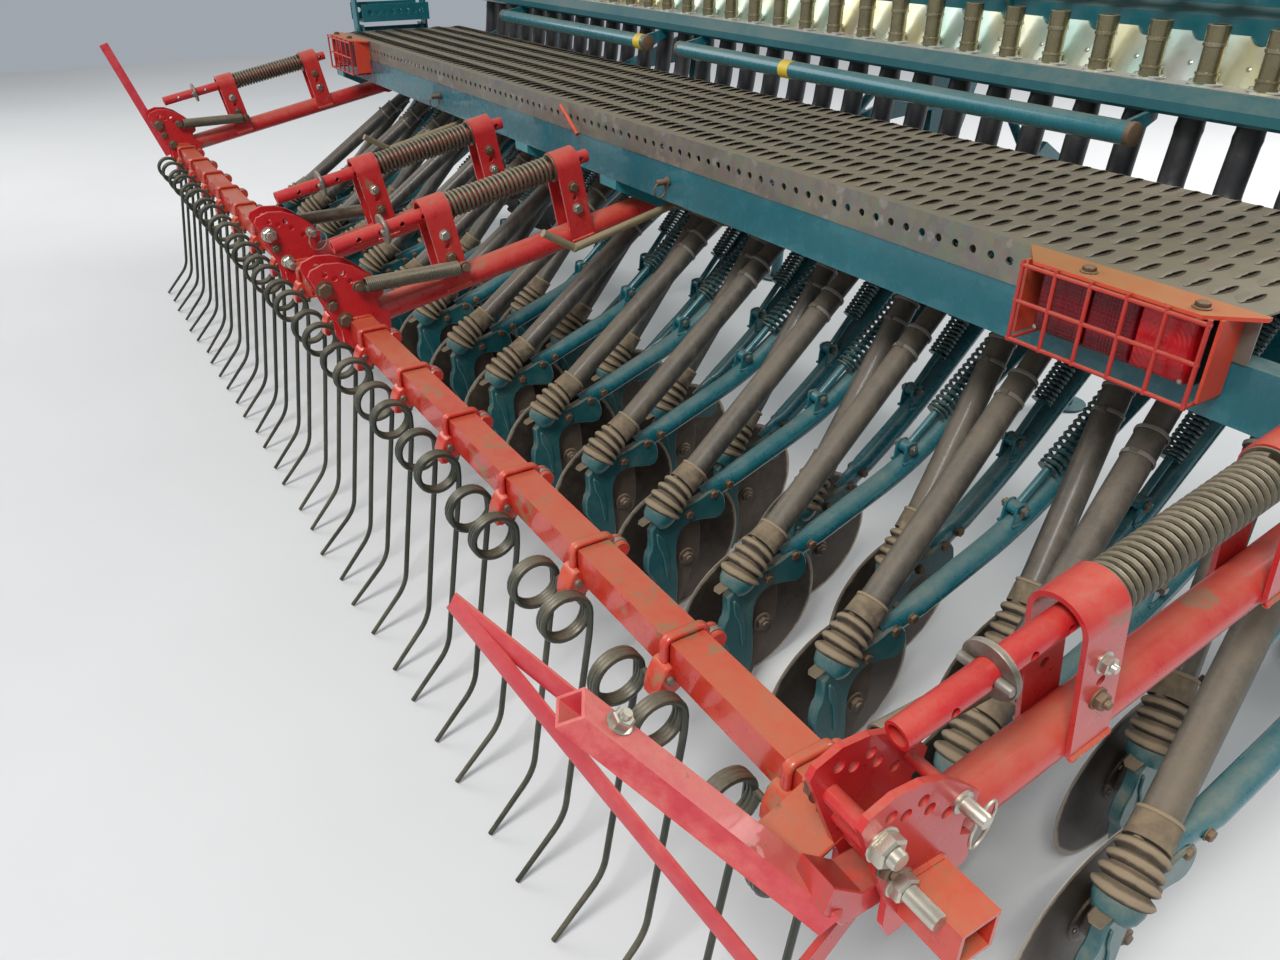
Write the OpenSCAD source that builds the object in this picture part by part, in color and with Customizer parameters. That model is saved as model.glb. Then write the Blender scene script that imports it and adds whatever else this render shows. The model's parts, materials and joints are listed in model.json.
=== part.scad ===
// Mounted box seed drill with a following tine harrow, 32 rows in two ranks of single discs.
// Frame: +X to the right seen from behind, +Y the way it travels, +Z up, ground at z = 0.

/* [Rows] */
// Number of seed rows
rows = 32; // [24:2:32]
// Distance between neighbouring rows
row_pitch = 125; // [115:1:135]
// Distance between neighbouring outlets of the metering tray
outlet_pitch = 103; // [98:1:108]

/* [Discs] */
// Diameter of a coulter disc
disc_d = 320; // [300:5:330]
// Thickness of a coulter disc
disc_t = 4; // [3:0.5:6]
// Radius of the pin that a disc turns on
disc_pin_r = 10; // [8:0.5:12]
// Travel direction distance between the two ranks
rank_gap = 250; // [235:5:270]
// Place of the rear rank's disc centres along the travel direction
rear_disc_y = -560; // [-570:5:-550]

/* [Seed tubes] */
// Radius of the upper, narrow tube
tube_upper_r = 20; // [17:0.5:21]
// Radius of the lower, wide tube
tube_lower_r = 24; // [23:0.5:24.5]
// Radius of the rubber hose under an outlet
hose_r = 23; // [22:0.5:24]
// Length of a bellows
bellows_len = 112; // [95:1:118]

/* [Coulter arms] */
// Radius of a coulter's arm tube
arm_r = 21; // [18:0.5:22]
// Radius of a pressure spring
press_spring_r = 19.5; // [18:0.5:20]
// Radius of the bar that the arms turn on
pivot_bar_r = 25; // [20:1:28]
// Height of the bar that the arms turn on
pivot_bar_z = 620; // [612:1:630]
// Radius of the pressure bar
press_bar_r = 22; // [18:1:24]

/* [Platform] */
// Height of the tread surface
deck_z = 900; // [890:1:910]
// Length of the platform across the machine
deck_len = 3500; // [3440:10:3540]
// Depth of the platform
deck_w = 480; // [460:5:490]
// Thickness of the tread sheet
deck_t = 3; // [2:0.5:4]
// Height of the rear flange
flange_h = 63; // [50:1:68]

/* [Harrow] */
// Side of the square harrow beam
beam_side = 50; // [45:1:55]
// Place of the harrow beam along the travel direction
beam_y = -970; // [-975:1:-962]
// Height of the harrow beam's centre
beam_z = 520; // [515:1:525]
// Length of one half of the harrow beam
beam_len = 1925; // [1900:5:1940]
// Radius of a harrow arm tube
harrow_arm_r = 28; // [24:1:29]
// Number of tine pairs on one half
tines_n = 8; // [7:1:8]
// Wire radius of a tine
tine_wire_r = 5; // [4:0.5:6]
// Outer radius of a tine's coil
tine_coil_r = 40; // [34:1:42]

/* [Wheels] */
// Outer diameter of a tyre
tyre_d = 800; // [760:10:820]
// Width of a tyre
tyre_w = 200; // [180:5:210]
// Distance of a wheel's middle from the middle of the drill
wheel_x = 1750; // [1745:5:1790]
// Place of the wheels along the travel direction
wheel_y = 600; // [590:5:640]

/* [Hopper] */
// Length of the hopper across the machine
hopper_len = 3360; // [3300:10:3380]
// Height of the hopper's rim
hopper_top_z = 1830; // [1780:10:1880]
// Thickness of the hopper's sheet
sheet_t = 3; // [2:0.5:4]

/* [Hitch] */
// Distance between the lower hitch pins' shoulders
hitch_span = 825; // [800:1:830]
// Radius of a lower hitch pin
hitch_pin_r = 14.3; // [11:0.1:18.4]
// Height of the lower hitch pins
hitch_z = 560; // [540:5:600]
// Height of the top link's hole over the lower pins
mast_h = 610; // [560:5:640]
// Radius of the top link's hole
top_hole_r = 12.8; // [9.5:0.1:16]

/* [Hidden] */
$fn = 40;

teal = "#1f6f78";
red = "#d23a2e";
zinc = "#b9bcb4";
gold = "#c9b675";
dark = "#2c2d2e";
grey = "#6f7072";
dust = "#8f7a5c";
steel = "#7d7f7c";
lens = "#8d1b22";

fit = 0.3;
run = 0.05;
gap = 6;

rank_of = [for (i = [0 : rows - 1]) i % 2];
disc_r = disc_d / 2;

function row_x(i) = (i - (rows - 1) / 2) * row_pitch;
function out_x(i) = (i - (rows - 1) / 2) * outlet_pitch;
// Rank 1 is the rear rank, rank 0 the front one
function disc_y(k) = rear_disc_y + (1 - k) * rank_gap;

// Points of a seed line in the plane of travel: [y, z]
hose_bend = [212, 850];
hose_foot = [40, 800];
nose = [236, 1050];
fan_mid = 0.08;
fan_end = 0.01;
// Where a bellows meets its boot: [behind the disc's centre, z]
boot_mouth = [72, 296];
// The seed line stands this far to the right of its row, clear of the disc
seed_off = 8;
// The tubes lean in towards the narrower tray, more so at the ends
function foot_x(i) = row_x(i) * (1 - fan_mid - fan_end * pow(row_x(i) / row_x(rows - 1), 2));
function foot_pt(i) = [foot_x(i), hose_foot[0], hose_foot[1]];
function bend_pt(i) = [out_x(i), hose_bend[0], hose_bend[1]];
function nose_pt(i) = [out_x(i), nose[0], nose[1]];
function unit(v) = v / norm(v);
function boot_pt(i) = [row_x(i) + seed_off, disc_y(rank_of[i]) - boot_mouth[0], boot_mouth[1]];
function seed_dir(i) = unit(foot_pt(i) - boot_pt(i));
function bellows_pt(i) = boot_pt(i) + bellows_len * seed_dir(i);

// Places children along the line from a to b, their +Z towards b
module along(a, b) {
    v = b - a;
    translate(a) rotate([0, acos(v[2] / norm(v)), atan2(v[1], v[0])]) children();
}

module rod(a, b, r) { along(a, b) cylinder(r = r, h = norm(b - a)); }

module bar_x(x0, x1, y, z, w, h) { translate([x0, y - w / 2, z - h / 2]) cube([x1 - x0, w, h]); }

module tube_x(x0, x1, y, z, r) { translate([x0, y, z]) rotate([0, 90, 0]) cylinder(r = r, h = x1 - x0); }

// A turned sleeve round the line from a to b with n ribs: r is the root, h the ribs' height
module ribbed(a, b, r, h, n) {
    len = norm(b - a);
    p = len / n;
    rib = [[r, 0.08], [r + h, 0.4], [r + h, 0.6], [r, 0.92]];
    along(a, b) rotate_extrude()
        polygon(concat([[0, 0]], [for (k = [0 : n - 1], q = rib) [q[0], (k + q[1]) * p]], [[0, len]]));
}

// A flat bar from a to b, w wide and t thick
module flat_bar(a, b, w, t) { along(a, b) translate([-w / 2, -t / 2, 0]) cube([w, t, norm(b - a)]); }

// A plate in the travel plane: points are [y, z], its thickness is t about x
module plate_x(x, t, points) {
    translate([x - t / 2, 0, 0]) rotate([90, 0, 90]) linear_extrude(t) polygon(points);
}

// Main frame
front_beam = [950, 610];
front_beam_side = 100;
rear_beam = [310, 650];
rear_beam_side = 80;
// The frame ends this far inside the tyres
tyre_room = 90;
frame_half = wheel_x - tyre_w / 2 - tyre_room;
member_w = 60;
member_pitch = (frame_half - member_w) / 1.5;
frame_members_x = [for (k = [-1.5 : 1.5]) k * member_pitch];
stand_x = 0.7 * member_pitch;

module main_frame() color(teal) {
    difference() {
        bar_x(-frame_half, frame_half, front_beam[0], front_beam[1], front_beam_side, front_beam_side);
        bar_x(-frame_half - 1, frame_half + 1, front_beam[0], front_beam[1],
              front_beam_side - 14, front_beam_side - 14);
    }
    bar_x(-frame_half, frame_half, rear_beam[0], rear_beam[1], rear_beam_side, rear_beam_side);
    from = rear_beam[0] + rear_beam_side / 2;
    to = front_beam[0] - front_beam_side / 2;
    for (x = frame_members_x)
        translate([x - member_w / 2, from, front_beam[1] - member_w / 2])
            cube([member_w, to - from, member_w]);
    for (s = [-1, 1], e = [-1, 1])
        plate_x(s * stand_x + e * (stand_w / 2 + gap + 4), 8, [
            [stand_pin[0] - 40, front_beam[1] + front_beam_side / 2],
            [stand_pin[0] - 40, front_beam[1] - front_beam_side / 2],
            [stand_pin[0] + 30, stand_pin[1] - 25], [stand_pin[0] + 30, stand_pin[1] + 25]]);
}

// Three-point headstock in front of the front beam
mast_y = 1203;
pin_len = 105;
ear_t = 16;
module hitch_headstock() color(teal) {
    beam_front = front_beam[0] + front_beam_side / 2;
    for (s = [-1, 1]) {
        plate_x(s * (hitch_span / 2 - ear_t / 2), ear_t, [
            [beam_front, front_beam[1] + 50], [beam_front, hitch_z - 45], [mast_y + 55, hitch_z - 45],
            [mast_y + 55, hitch_z + 45], [beam_front + 60, front_beam[1] + 110]]);
        tube_x(min(s * hitch_span / 2, s * (hitch_span / 2 + pin_len)),
               max(s * hitch_span / 2, s * (hitch_span / 2 + pin_len)), mast_y, hitch_z, hitch_pin_r);
        difference() {
            plate_x(s * 45, 14, [
                [beam_front, front_beam[1] - 20], [beam_front, front_beam[1] + 50],
                [mast_y - 40, hitch_z + mast_h + 40], [mast_y + 35, hitch_z + mast_h + 40],
                [mast_y + 35, hitch_z + mast_h - 50], [beam_front + 70, front_beam[1] - 20]]);
            tube_x(s * 45 - 10, s * 45 + 10, mast_y, hitch_z + mast_h, top_hole_r);
        }
        rod([s * (hitch_span / 2 - ear_t), beam_front + 30, front_beam[1] + 40],
            [s * 51, beam_front + 55, hitch_z + mast_h - 120], 16);
    }
    bar_x(-38, 38, beam_front + 115, front_beam[1] + 300, 12, 120);
}

// Hopper: [y, z] outline of the cross section, open at the top
trough_y = [330, 430];
trough_z = 1250;
// Walls and the heights at which they begin to slope in, rear and front
hopper_y = [190, 900];
slope_top = [1480, 1560];
hopper_outer = [
    [trough_y[0], trough_z], [trough_y[1], trough_z], [hopper_y[1], slope_top[1]],
    [hopper_y[1], hopper_top_z], [hopper_y[0], hopper_top_z], [hopper_y[0], slope_top[0]]
];
hopper_inner = [
    [trough_y[0] + 15, trough_z + 2 * sheet_t], [trough_y[1] - 15, trough_z + 2 * sheet_t],
    [hopper_y[1] - sheet_t, slope_top[1] + 2], [hopper_y[1] - sheet_t, hopper_top_z + 1],
    [hopper_y[0] + sheet_t, hopper_top_z + 1], [hopper_y[0] + sheet_t, slope_top[0] + 1]
];
hopper_rib = 12;
lid_hinge = [hopper_y[1] + 9, hopper_top_z + 14];
hinge_x = [for (k = [-1.5 : 1.5]) k * hopper_len * 0.24];
hinge_pin_r = 5;
module hopper() color(teal) {
    difference() {
        plate_x(0, hopper_len, hopper_outer);
        for (s = [-1, 1])
            plate_x(s * (hopper_len / 4 - 0.5), hopper_len / 2 - sheet_t * 2, hopper_inner);
    }
    // Ribs down the sloping rear wall, one between each two outlets
    for (i = [0 : rows - 2])
        plate_x((out_x(i) + out_x(i + 1)) / 2, 6, [
            [trough_y[0], trough_z], [hopper_y[0], slope_top[0]], [hopper_y[0], slope_top[0] + 60],
            [hopper_y[0] - hopper_rib, slope_top[0] + 40], [hopper_y[0] - hopper_rib, slope_top[0]],
            [trough_y[0] - hopper_rib, trough_z + 2]]);
    for (x = hinge_x) {
        for (e = [-1, 1])
            plate_x(x + e * 28, 5, [
                [hopper_y[1] - 1, hopper_top_z - 40], [lid_hinge[0] + 8, hopper_top_z - 20],
                [lid_hinge[0] + 8, lid_hinge[1] + 8], [hopper_y[1] - 1, lid_hinge[1] + 8]]);
        tube_x(x - 28, x + 28, lid_hinge[0], lid_hinge[1], hinge_pin_r);
    }
}

// Legs that carry the hopper on the frame's members, up against its sloping front wall
leg_y = trough_y[1];
function slope_z(y) = trough_z + (y - trough_y[1]) * (slope_top[1] - trough_z) / (hopper_y[1] - trough_y[1]);
module hopper_legs() color(teal) for (x = frame_members_x) {
    translate([x - 25, leg_y, front_beam[1] + 30]) cube([50, 50, trough_z - front_beam[1] - 30]);
    plate_x(x, 12, [[leg_y, trough_z - 160], [leg_y, trough_z], [leg_y + 170, slope_z(leg_y + 170)],
                    [leg_y + 170, slope_z(leg_y + 170) - 30]]);
}

// The lid lies on the hopper's rim with a skirt outside it
lid_skirt = 32;
module hopper_lid() color(teal) {
    under = hopper_top_z + fit;
    y0 = hopper_y[0] - 3 - sheet_t;
    half = hopper_len / 2 + 3 + sheet_t;
    difference() {
        translate([-half, y0, under - lid_skirt]) cube([2 * half, hopper_y[1] - 2 - y0, lid_skirt + sheet_t]);
        translate([-half + sheet_t, y0 + sheet_t, under - lid_skirt - 1])
            cube([2 * (half - sheet_t), hopper_y[1], lid_skirt + 1]);
    }
    for (x = hinge_x) difference() {
        union() {
            tube_x(x - 22, x + 22, lid_hinge[0], lid_hinge[1], hinge_pin_r + 5);
            plate_x(x, 44, [[hopper_y[1] - 40, under + sheet_t - 1], [hopper_y[1] - 5, under + sheet_t - 1],
                            [lid_hinge[0], lid_hinge[1] + 4], [lid_hinge[0], lid_hinge[1] + 9],
                            [hopper_y[1] - 5, under + 9]]);
        }
        tube_x(x - 23, x + 23, lid_hinge[0], lid_hinge[1], hinge_pin_r + run);
    }
}

// Metering tray: a block under the trough with a shelf that the outlets stand on
tray_half = out_x(rows - 1) + 60;
meter_shaft = [260, 1205];
meter_shaft_r = 10;
tray_top = [trough_y[0] + 15, trough_y[1] - 5];
tray_low = 1100;
tray_rear = 285;
shelf_z = [1045, 1048];
shelf_rear = 204;
tray_web = [324, 330];
outlet_r = 16;
module metering_tray() color(zinc) {
    difference() {
        plate_x(0, 2 * tray_half, [
            [tray_rear, 1150], [trough_y[0], 1165], [tray_top[0], trough_z], [tray_top[1], trough_z],
            [tray_top[1], tray_low], [tray_web[1], tray_low], [tray_web[1], shelf_z[0]],
            [shelf_rear, shelf_z[0]], [shelf_rear, shelf_z[1]], [tray_web[0], shelf_z[1]],
            [tray_web[0], tray_low], [tray_rear, tray_low]]);
        for (i = [0 : rows - 1])
            translate([out_x(i), nose[0], shelf_z[0] - 1]) cylinder(r = outlet_r + fit, h = 10);
    }
    for (x = [-tray_half + 4, -8 * outlet_pitch, 0, 8 * outlet_pitch, tray_half - 4]) difference() {
        plate_x(x, 8, [[tray_rear + 1, 1128], [meter_shaft[0] - 22, meter_shaft[1] - 18],
                       [meter_shaft[0] - 22, meter_shaft[1] + 22], [tray_top[0] - 1, meter_shaft[1] + 22]]);
        tube_x(x - 6, x + 6, meter_shaft[0], meter_shaft[1], meter_shaft_r + run);
    }
}

// Outlets: turned tubes in three sections on the shelf, and the scalloped sheet behind them
outlet_steps = [
    // radius, from height, to height
    [outlet_r, 1028, 1050], [24, shelf_z[1] + 0.02, 1050.5], [18, 1050, 1066], [19.5, 1066, 1069],
    [16.5, 1069, 1110], [19, 1110, 1114], [18, 1114, 1142]
];
outlet_bore = 12;
sheet_foot = 256;
scallop_r = 24;
module outlet_chutes() color(gold) {
    for (i = [0 : rows - 1]) difference() {
        for (step = outlet_steps)
            translate([out_x(i), nose[0], step[1]]) cylinder(r = step[0], h = step[2] - step[1]);
        translate([out_x(i), nose[0], outlet_steps[0][1] - 1]) cylinder(r = outlet_bore, h = 200);
    }
    difference() {
        plate_x(0, 2 * tray_half - 10, [
            [sheet_foot, shelf_z[1] + 0.02], [sheet_foot + 3, shelf_z[1] + 0.02],
            [tray_rear - fit, tray_low + 18], [tray_rear - fit, tray_low + 24],
            [tray_rear - 3, tray_low + 24]]);
        for (i = [0 : rows - 2])
            translate([(out_x(i) + out_x(i + 1)) / 2, tray_rear - 30, tray_low + 34]) rotate([-90, 0, 0])
                cylinder(r = scallop_r, h = 40);
    }
}

// An angled rail along the shelf's rear edge, behind the hoses
rail_y = [170, shelf_rear];
rail_z = [1004, 1044];
module tray_rail() color(teal) {
    plate_x(0, 2 * tray_half, [
        [rail_y[1], rail_z[1] + 4], [rail_y[1] - 10, rail_z[1] + 4], [rail_y[0], rail_z[1] - 18],
        [rail_y[0], rail_z[0] + 6], [rail_y[0] + 6, rail_z[0]], [rail_y[1], rail_z[0]]]);
}

module metering_shaft() color(dark) {
    tube_x(-tray_half - 50, tray_half + 30, meter_shaft[0], meter_shaft[1], meter_shaft_r);
    for (i = [0 : rows - 1]) {
        tube_x(out_x(i) - 14, out_x(i) + 6, meter_shaft[0], meter_shaft[1], 26);
        tube_x(out_x(i) + 6, out_x(i) + 34, meter_shaft[0], meter_shaft[1], 16);
    }
}

// Two round tubes under the rail: [first outlet, last outlet] that their arms stand between
tray_tube = [120, 975];
tray_tube_r = 20;
tray_tube_ends = [[-12, -3], [-1, 12]];
module tray_tubes() color(teal) for (e = tray_tube_ends) {
    tube_x(e[0] * outlet_pitch - 22, e[1] * outlet_pitch + 22, tray_tube[0], tray_tube[1], tray_tube_r);
    for (n = e)
        plate_x(n * outlet_pitch, 8, [
            [tray_tube[0] - 8, tray_tube[1] - 17], [tray_tube[0] + 14, tray_tube[1] - 17],
            [rail_y[1], rail_z[0] - 14], [rail_y[1], rail_z[0]], [rail_y[0] + 6, rail_z[0]],
            [tray_tube[0] - 8, tray_tube[1] + 17]]);
}

drive_w = 75;
module drive_box() color(teal) {
    difference() {
        translate([-hopper_len / 2 - drive_w, hopper_y[0] - 10, tray_low - 10]) cube([drive_w, 190, 240]);
        tube_x(-hopper_len / 2 - 40, -hopper_len / 2 + 1, meter_shaft[0], meter_shaft[1],
               meter_shaft_r + run);
    }
}

// Seed hoses: rubber, down from the nose and back under the platform
module seed_hoses() color(dark) for (i = [0 : rows - 1]) {
    difference() {
        union() {
            rod(bend_pt(i), nose_pt(i) - [0, 0, nose[1] - shelf_z[0] + 3 + fit], hose_r);
            translate(bend_pt(i)) sphere(r = hose_r + 2);
            rod(foot_pt(i), bend_pt(i), hose_r);
        }
        translate([out_x(i), nose[0], outlet_steps[0][1] - fit]) cylinder(r = outlet_r + fit, h = 60);
        rod(foot_pt(i) - unit(bend_pt(i) - foot_pt(i)), foot_pt(i) + 30 * unit(bend_pt(i) - foot_pt(i)), 17);
    }
}

module tubes_upper() color(grey) for (i = [0 : rows - 1]) {
    d = unit(foot_pt(i) - bellows_pt(i));
    len = norm(foot_pt(i) - bellows_pt(i));
    rod(bellows_pt(i) + 0.5 * len * d, foot_pt(i) - 26 * d, tube_upper_r);
}

module tubes_lower() color(grey) for (i = [0 : rows - 1]) {
    d = unit(foot_pt(i) - bellows_pt(i));
    len = norm(foot_pt(i) - bellows_pt(i));
    top = 0.62 * len;
    difference() {
        union() {
            rod(bellows_pt(i) - 30 * d, bellows_pt(i) + top * d, tube_lower_r);
            for (h = [top - 45, top])
                rod(bellows_pt(i) + (h - 6) * d, bellows_pt(i) + h * d, tube_lower_r + 1.5);
        }
        rod(bellows_pt(i) + (0.5 * len - fit) * d, bellows_pt(i) + 0.63 * len * d, tube_upper_r + fit);
    }
}

// Bellows: a collar, then ribs as rings, along the seed tube's line
module bellows() color(dust) for (i = [0 : rows - 1]) {
    d = unit(foot_pt(i) - bellows_pt(i));
    difference() {
        union() {
            rod(bellows_pt(i) - bellows_len * d, bellows_pt(i), tube_lower_r + 5);
            ribbed(bellows_pt(i) - bellows_len * d, bellows_pt(i) - 26 * d, tube_lower_r + 4, 8, 5);
        }
        rod(bellows_pt(i) - (30 + fit) * d, bellows_pt(i) + d, tube_lower_r + fit);
    }
}

hanger_x = [for (k = [-3 : 3]) k * 4 * row_pitch];
press_bar = [150, 770];
pivot_y = 90;
module pivot_bar() color(teal) {
    half = row_x(rows - 1) + 54;
    tube_x(-half, half, pivot_y, pivot_bar_z, pivot_bar_r);
    for (x = hanger_x)
        difference() {
            plate_x(x, 12, [[pivot_y - 45, pivot_bar_z - 40], [pivot_y - 45, pivot_bar_z + 40],
                            [press_bar[0] - 38, press_bar[1] + 26], [press_bar[0] + 45, press_bar[1] + 26],
                            [rear_beam[0] - rear_beam_side / 2, rear_beam[1] + 40],
                            [rear_beam[0] - rear_beam_side / 2, rear_beam[1] - 40]]);
            tube_x(x - 10, x + 10, press_bar[0], press_bar[1], press_bar_r + fit);
        }
}

module pressure_bar() color(teal) {
    half = row_x(rows - 1) + 54;
    tube_x(-half, half, press_bar[0], press_bar[1], press_bar_r);
}

// Arm line of rank k: from the boot head to the pivot bar
boot_head_z = 300;
function head_pt(i) = [row_x(i), disc_y(rank_of[i]) + 45, boot_head_z];
function pivot_pt(i) = [row_x(i), pivot_y, pivot_bar_z];
// An arm rises gently to its knee, then steeply to the bar
knee_share = 0.45;
knee_drop = [20, 45];
function knee_pt(i) = head_pt(i) + knee_share * (pivot_pt(i) - head_pt(i)) - [0, 0, knee_drop[rank_of[i]]];
eye_r = pivot_bar_r + 8;
lug_h = [49, 43];
lug_pin_r = 6;
lug_t = 5;
function lug_pt(i) = knee_pt(i) + [0, 0, lug_h[rank_of[i]]];
module coulter_arms() color(teal) for (i = [0 : rows - 1]) {
    difference() {
        union() {
            rod(head_pt(i), knee_pt(i), arm_r);
            translate(knee_pt(i)) sphere(r = arm_r + 0.8);
            rod(knee_pt(i), pivot_pt(i), arm_r - 0.5);
            for (e = [-1, 1])
                plate_x(row_x(i) + e * (rod_eye_half + fit + lug_t / 2), lug_t, [
                    [lug_pt(i)[1] - 17, knee_pt(i)[2]], [lug_pt(i)[1] + 17, knee_pt(i)[2]],
                    [lug_pt(i)[1] + 13, lug_pt(i)[2] + 12], [lug_pt(i)[1] - 13, lug_pt(i)[2] + 12]]);
            tube_x(row_x(i) - 20, row_x(i) + 20, lug_pt(i)[1], lug_pt(i)[2], lug_pin_r);
            tube_x(row_x(i) - 24, row_x(i) + 24, pivot_y, pivot_bar_z, eye_r);
        }
        tube_x(row_x(i) - 30, row_x(i) + 30, pivot_y, pivot_bar_z, pivot_bar_r + fit);
    }
}

// A boot: [behind the disc's centre, z] points of its casting, round from the bellows
boot_t = 20;
boot_outline = [
    [98, 276], [94, 222], [104, 208], [106, 168], [92, 150], [88, 122], [72, 98], [64, 46], [36, 36],
    [29, 112], [37, 190], [34, 236], [8, 256], [-30, 250], [-74, 236], [-92, 262], [-76, 304], [-44, 314],
    [-10, 300], [20, 296], [44, 282]
];
module coulter_boots() color(teal) for (i = [0 : rows - 1]) {
    y = disc_y(rank_of[i]);
    foot = boot_pt(i);
    difference() {
        plate_x(row_x(i) + boot_t / 2 - 4, boot_t, [for (q = boot_outline) [y - q[0], q[1]]]);
        rod(head_pt(i), knee_pt(i), arm_r + fit);
        rod(foot - fit * seed_dir(i), bellows_pt(i), tube_lower_r + 13);
    }
}

// The plate beside a boot that holds its disc, with the disc's pin, washer and nut and a scraper finger
hub_t = 10;
disc_off = 44;
hub_x = -4 - hub_t / 2;
hub_outline = [
    [40, 250], [-28, 252], [-36, 205], [-34, 140], [-16, 118], [2, 70],
    [14, 32], [22, 34], [16, 78], [24, 122], [33, 190]
];
module hub_plates() color(steel) for (i = [0 : rows - 1]) {
    y = disc_y(rank_of[i]);
    plate_x(row_x(i) + hub_x, hub_t, [for (q = hub_outline) [y - q[0], q[1]]]);
    tube_x(row_x(i) - disc_off - 14, row_x(i) + hub_x, y, disc_r, disc_pin_r);
    tube_x(row_x(i) + hub_x, row_x(i) - 1, y, disc_r, 19);
    translate([row_x(i) - 1, y, disc_r]) rotate([0, 90, 0]) cylinder(r = 13, h = 9, $fn = 6);
}

rod_eye_half = 9;
rod_eye_r = 12;
function press_pt(i) = [row_x(i), press_bar[0], press_bar[1]];
module coulter_rods() color(teal) for (i = [0 : rows - 1]) {
    d = unit(press_pt(i) - lug_pt(i));
    difference() {
        union() {
            rod(lug_pt(i), press_pt(i) - (press_bar_r + fit) * d, 7);
            tube_x(row_x(i) - rod_eye_half, row_x(i) + rod_eye_half, lug_pt(i)[1], lug_pt(i)[2], rod_eye_r);
        }
        tube_x(row_x(i) - 30, row_x(i) + 30, lug_pt(i)[1], lug_pt(i)[2], lug_pin_r + run);
    }
}

spring_start = 150;
module coulter_springs() color(teal) for (i = [0 : rows - 1]) {
    d = unit(press_pt(i) - lug_pt(i));
    difference() {
        ribbed(lug_pt(i) + spring_start * d, press_pt(i) - 30 * d, press_spring_r - 7, 7, 16);
        rod(lug_pt(i) + 50 * d, press_pt(i) - 20 * d, 7 + fit);
    }
}

disc_hub_r = 32;
// A rank of discs that turn on the boots' pins
module disc_rank(k) color(steel) {
    for (i = [0 : rows - 1]) if (rank_of[i] == k)
        difference() {
            union() {
                tube_x(row_x(i) - disc_off - disc_t / 2, row_x(i) - disc_off + disc_t / 2,
                       disc_y(k), disc_r, disc_r);
                tube_x(row_x(i) - disc_off - 12, row_x(i) - 18, disc_y(k), disc_r, disc_hub_r);
            }
            tube_x(row_x(i) - 60, row_x(i), disc_y(k), disc_r, disc_pin_r + run);
        }
}
module discs_front() disc_rank(0);
module discs_rear() disc_rank(1);

deck_rear = -330;
flange_hole_r = 6.5;
flange_hole_pitch = 34;
module platform_deck() color(zinc) {
    translate([-deck_len / 2, deck_rear, deck_z - deck_t]) cube([deck_len, deck_w, deck_t]);
    holes = floor((deck_len / 2 - 20) / flange_hole_pitch);
    difference() {
        translate([-deck_len / 2, deck_rear, deck_z - flange_h]) cube([deck_len, deck_t, flange_h]);
        for (k = [-holes : holes])
            translate([k * flange_hole_pitch, deck_rear - 1, deck_z - flange_h / 2]) rotate([-90, 0, 0])
                cylinder(r = flange_hole_r, h = deck_t + 2);
    }
    translate([-deck_len / 2, deck_rear + deck_w - deck_t, deck_z - 12]) cube([deck_len, deck_t, 12]);
}

// The platform's brackets run forward to the hopper's legs, each fixed to the side of one
bracket_x = [for (x = frame_members_x) x + sign(x) * 29];
teal_beam_h = 80;
module platform_beam() color(teal) {
    top = deck_z - flange_h;
    // The beam reaches past the platform to carry the outer harrow arms
    half = harrow_arm_x[1] + harrow_arm_r + gap + hanger_t;
    bar_x(-half, half, deck_rear + 22, top - teal_beam_h / 2, 40, teal_beam_h);
    front = deck_rear + deck_w - deck_t - 1;
    for (x = bracket_x)
        plate_x(x, 8, [
            [deck_rear + deck_t, top], [deck_rear + 42, top - 40], [0, deck_z - 50], [30, deck_z - 34],
            [front + 19, deck_z - 34], [leg_y, deck_z - 15], [leg_y, deck_z + 70], [front + 19, deck_z - 12],
            [front, deck_z - 12], [front, deck_z - deck_t], [deck_rear + deck_t, deck_z - deck_t]]);
}

// The harrow arms' pivots, behind and under the platform beam
harrow_pivot = [-150, 690];
// Where one half of the beam begins, beside the middle of the drill
beam_in = 50;
harrow_arm_x = [234, beam_in + beam_len - 105];
harrow_end = [beam_y + 45, beam_z + 20];
arm_tilt = atan2(harrow_pivot[1] - harrow_end[1], harrow_pivot[0] - harrow_end[0]);
arm_len = norm(harrow_pivot - harrow_end);
rod_w = 165;
pivot_pin_r = 12;

// The [y, z] place of a point s along an arm and n up from it
function arm_at(s, n) = [harrow_pivot[0] - s * cos(arm_tilt) - n * sin(arm_tilt),
                         harrow_pivot[1] + n * cos(arm_tilt) - s * sin(arm_tilt)];

// Places children in an arm's own frame: +X across, +Y rearward along the arm, +Z up from it
module arm_frame(x) {
    translate([x, harrow_pivot[0], harrow_pivot[1]]) rotate([arm_tilt, 0, 0]) mirror([0, 1, 0]) children();
}

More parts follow.
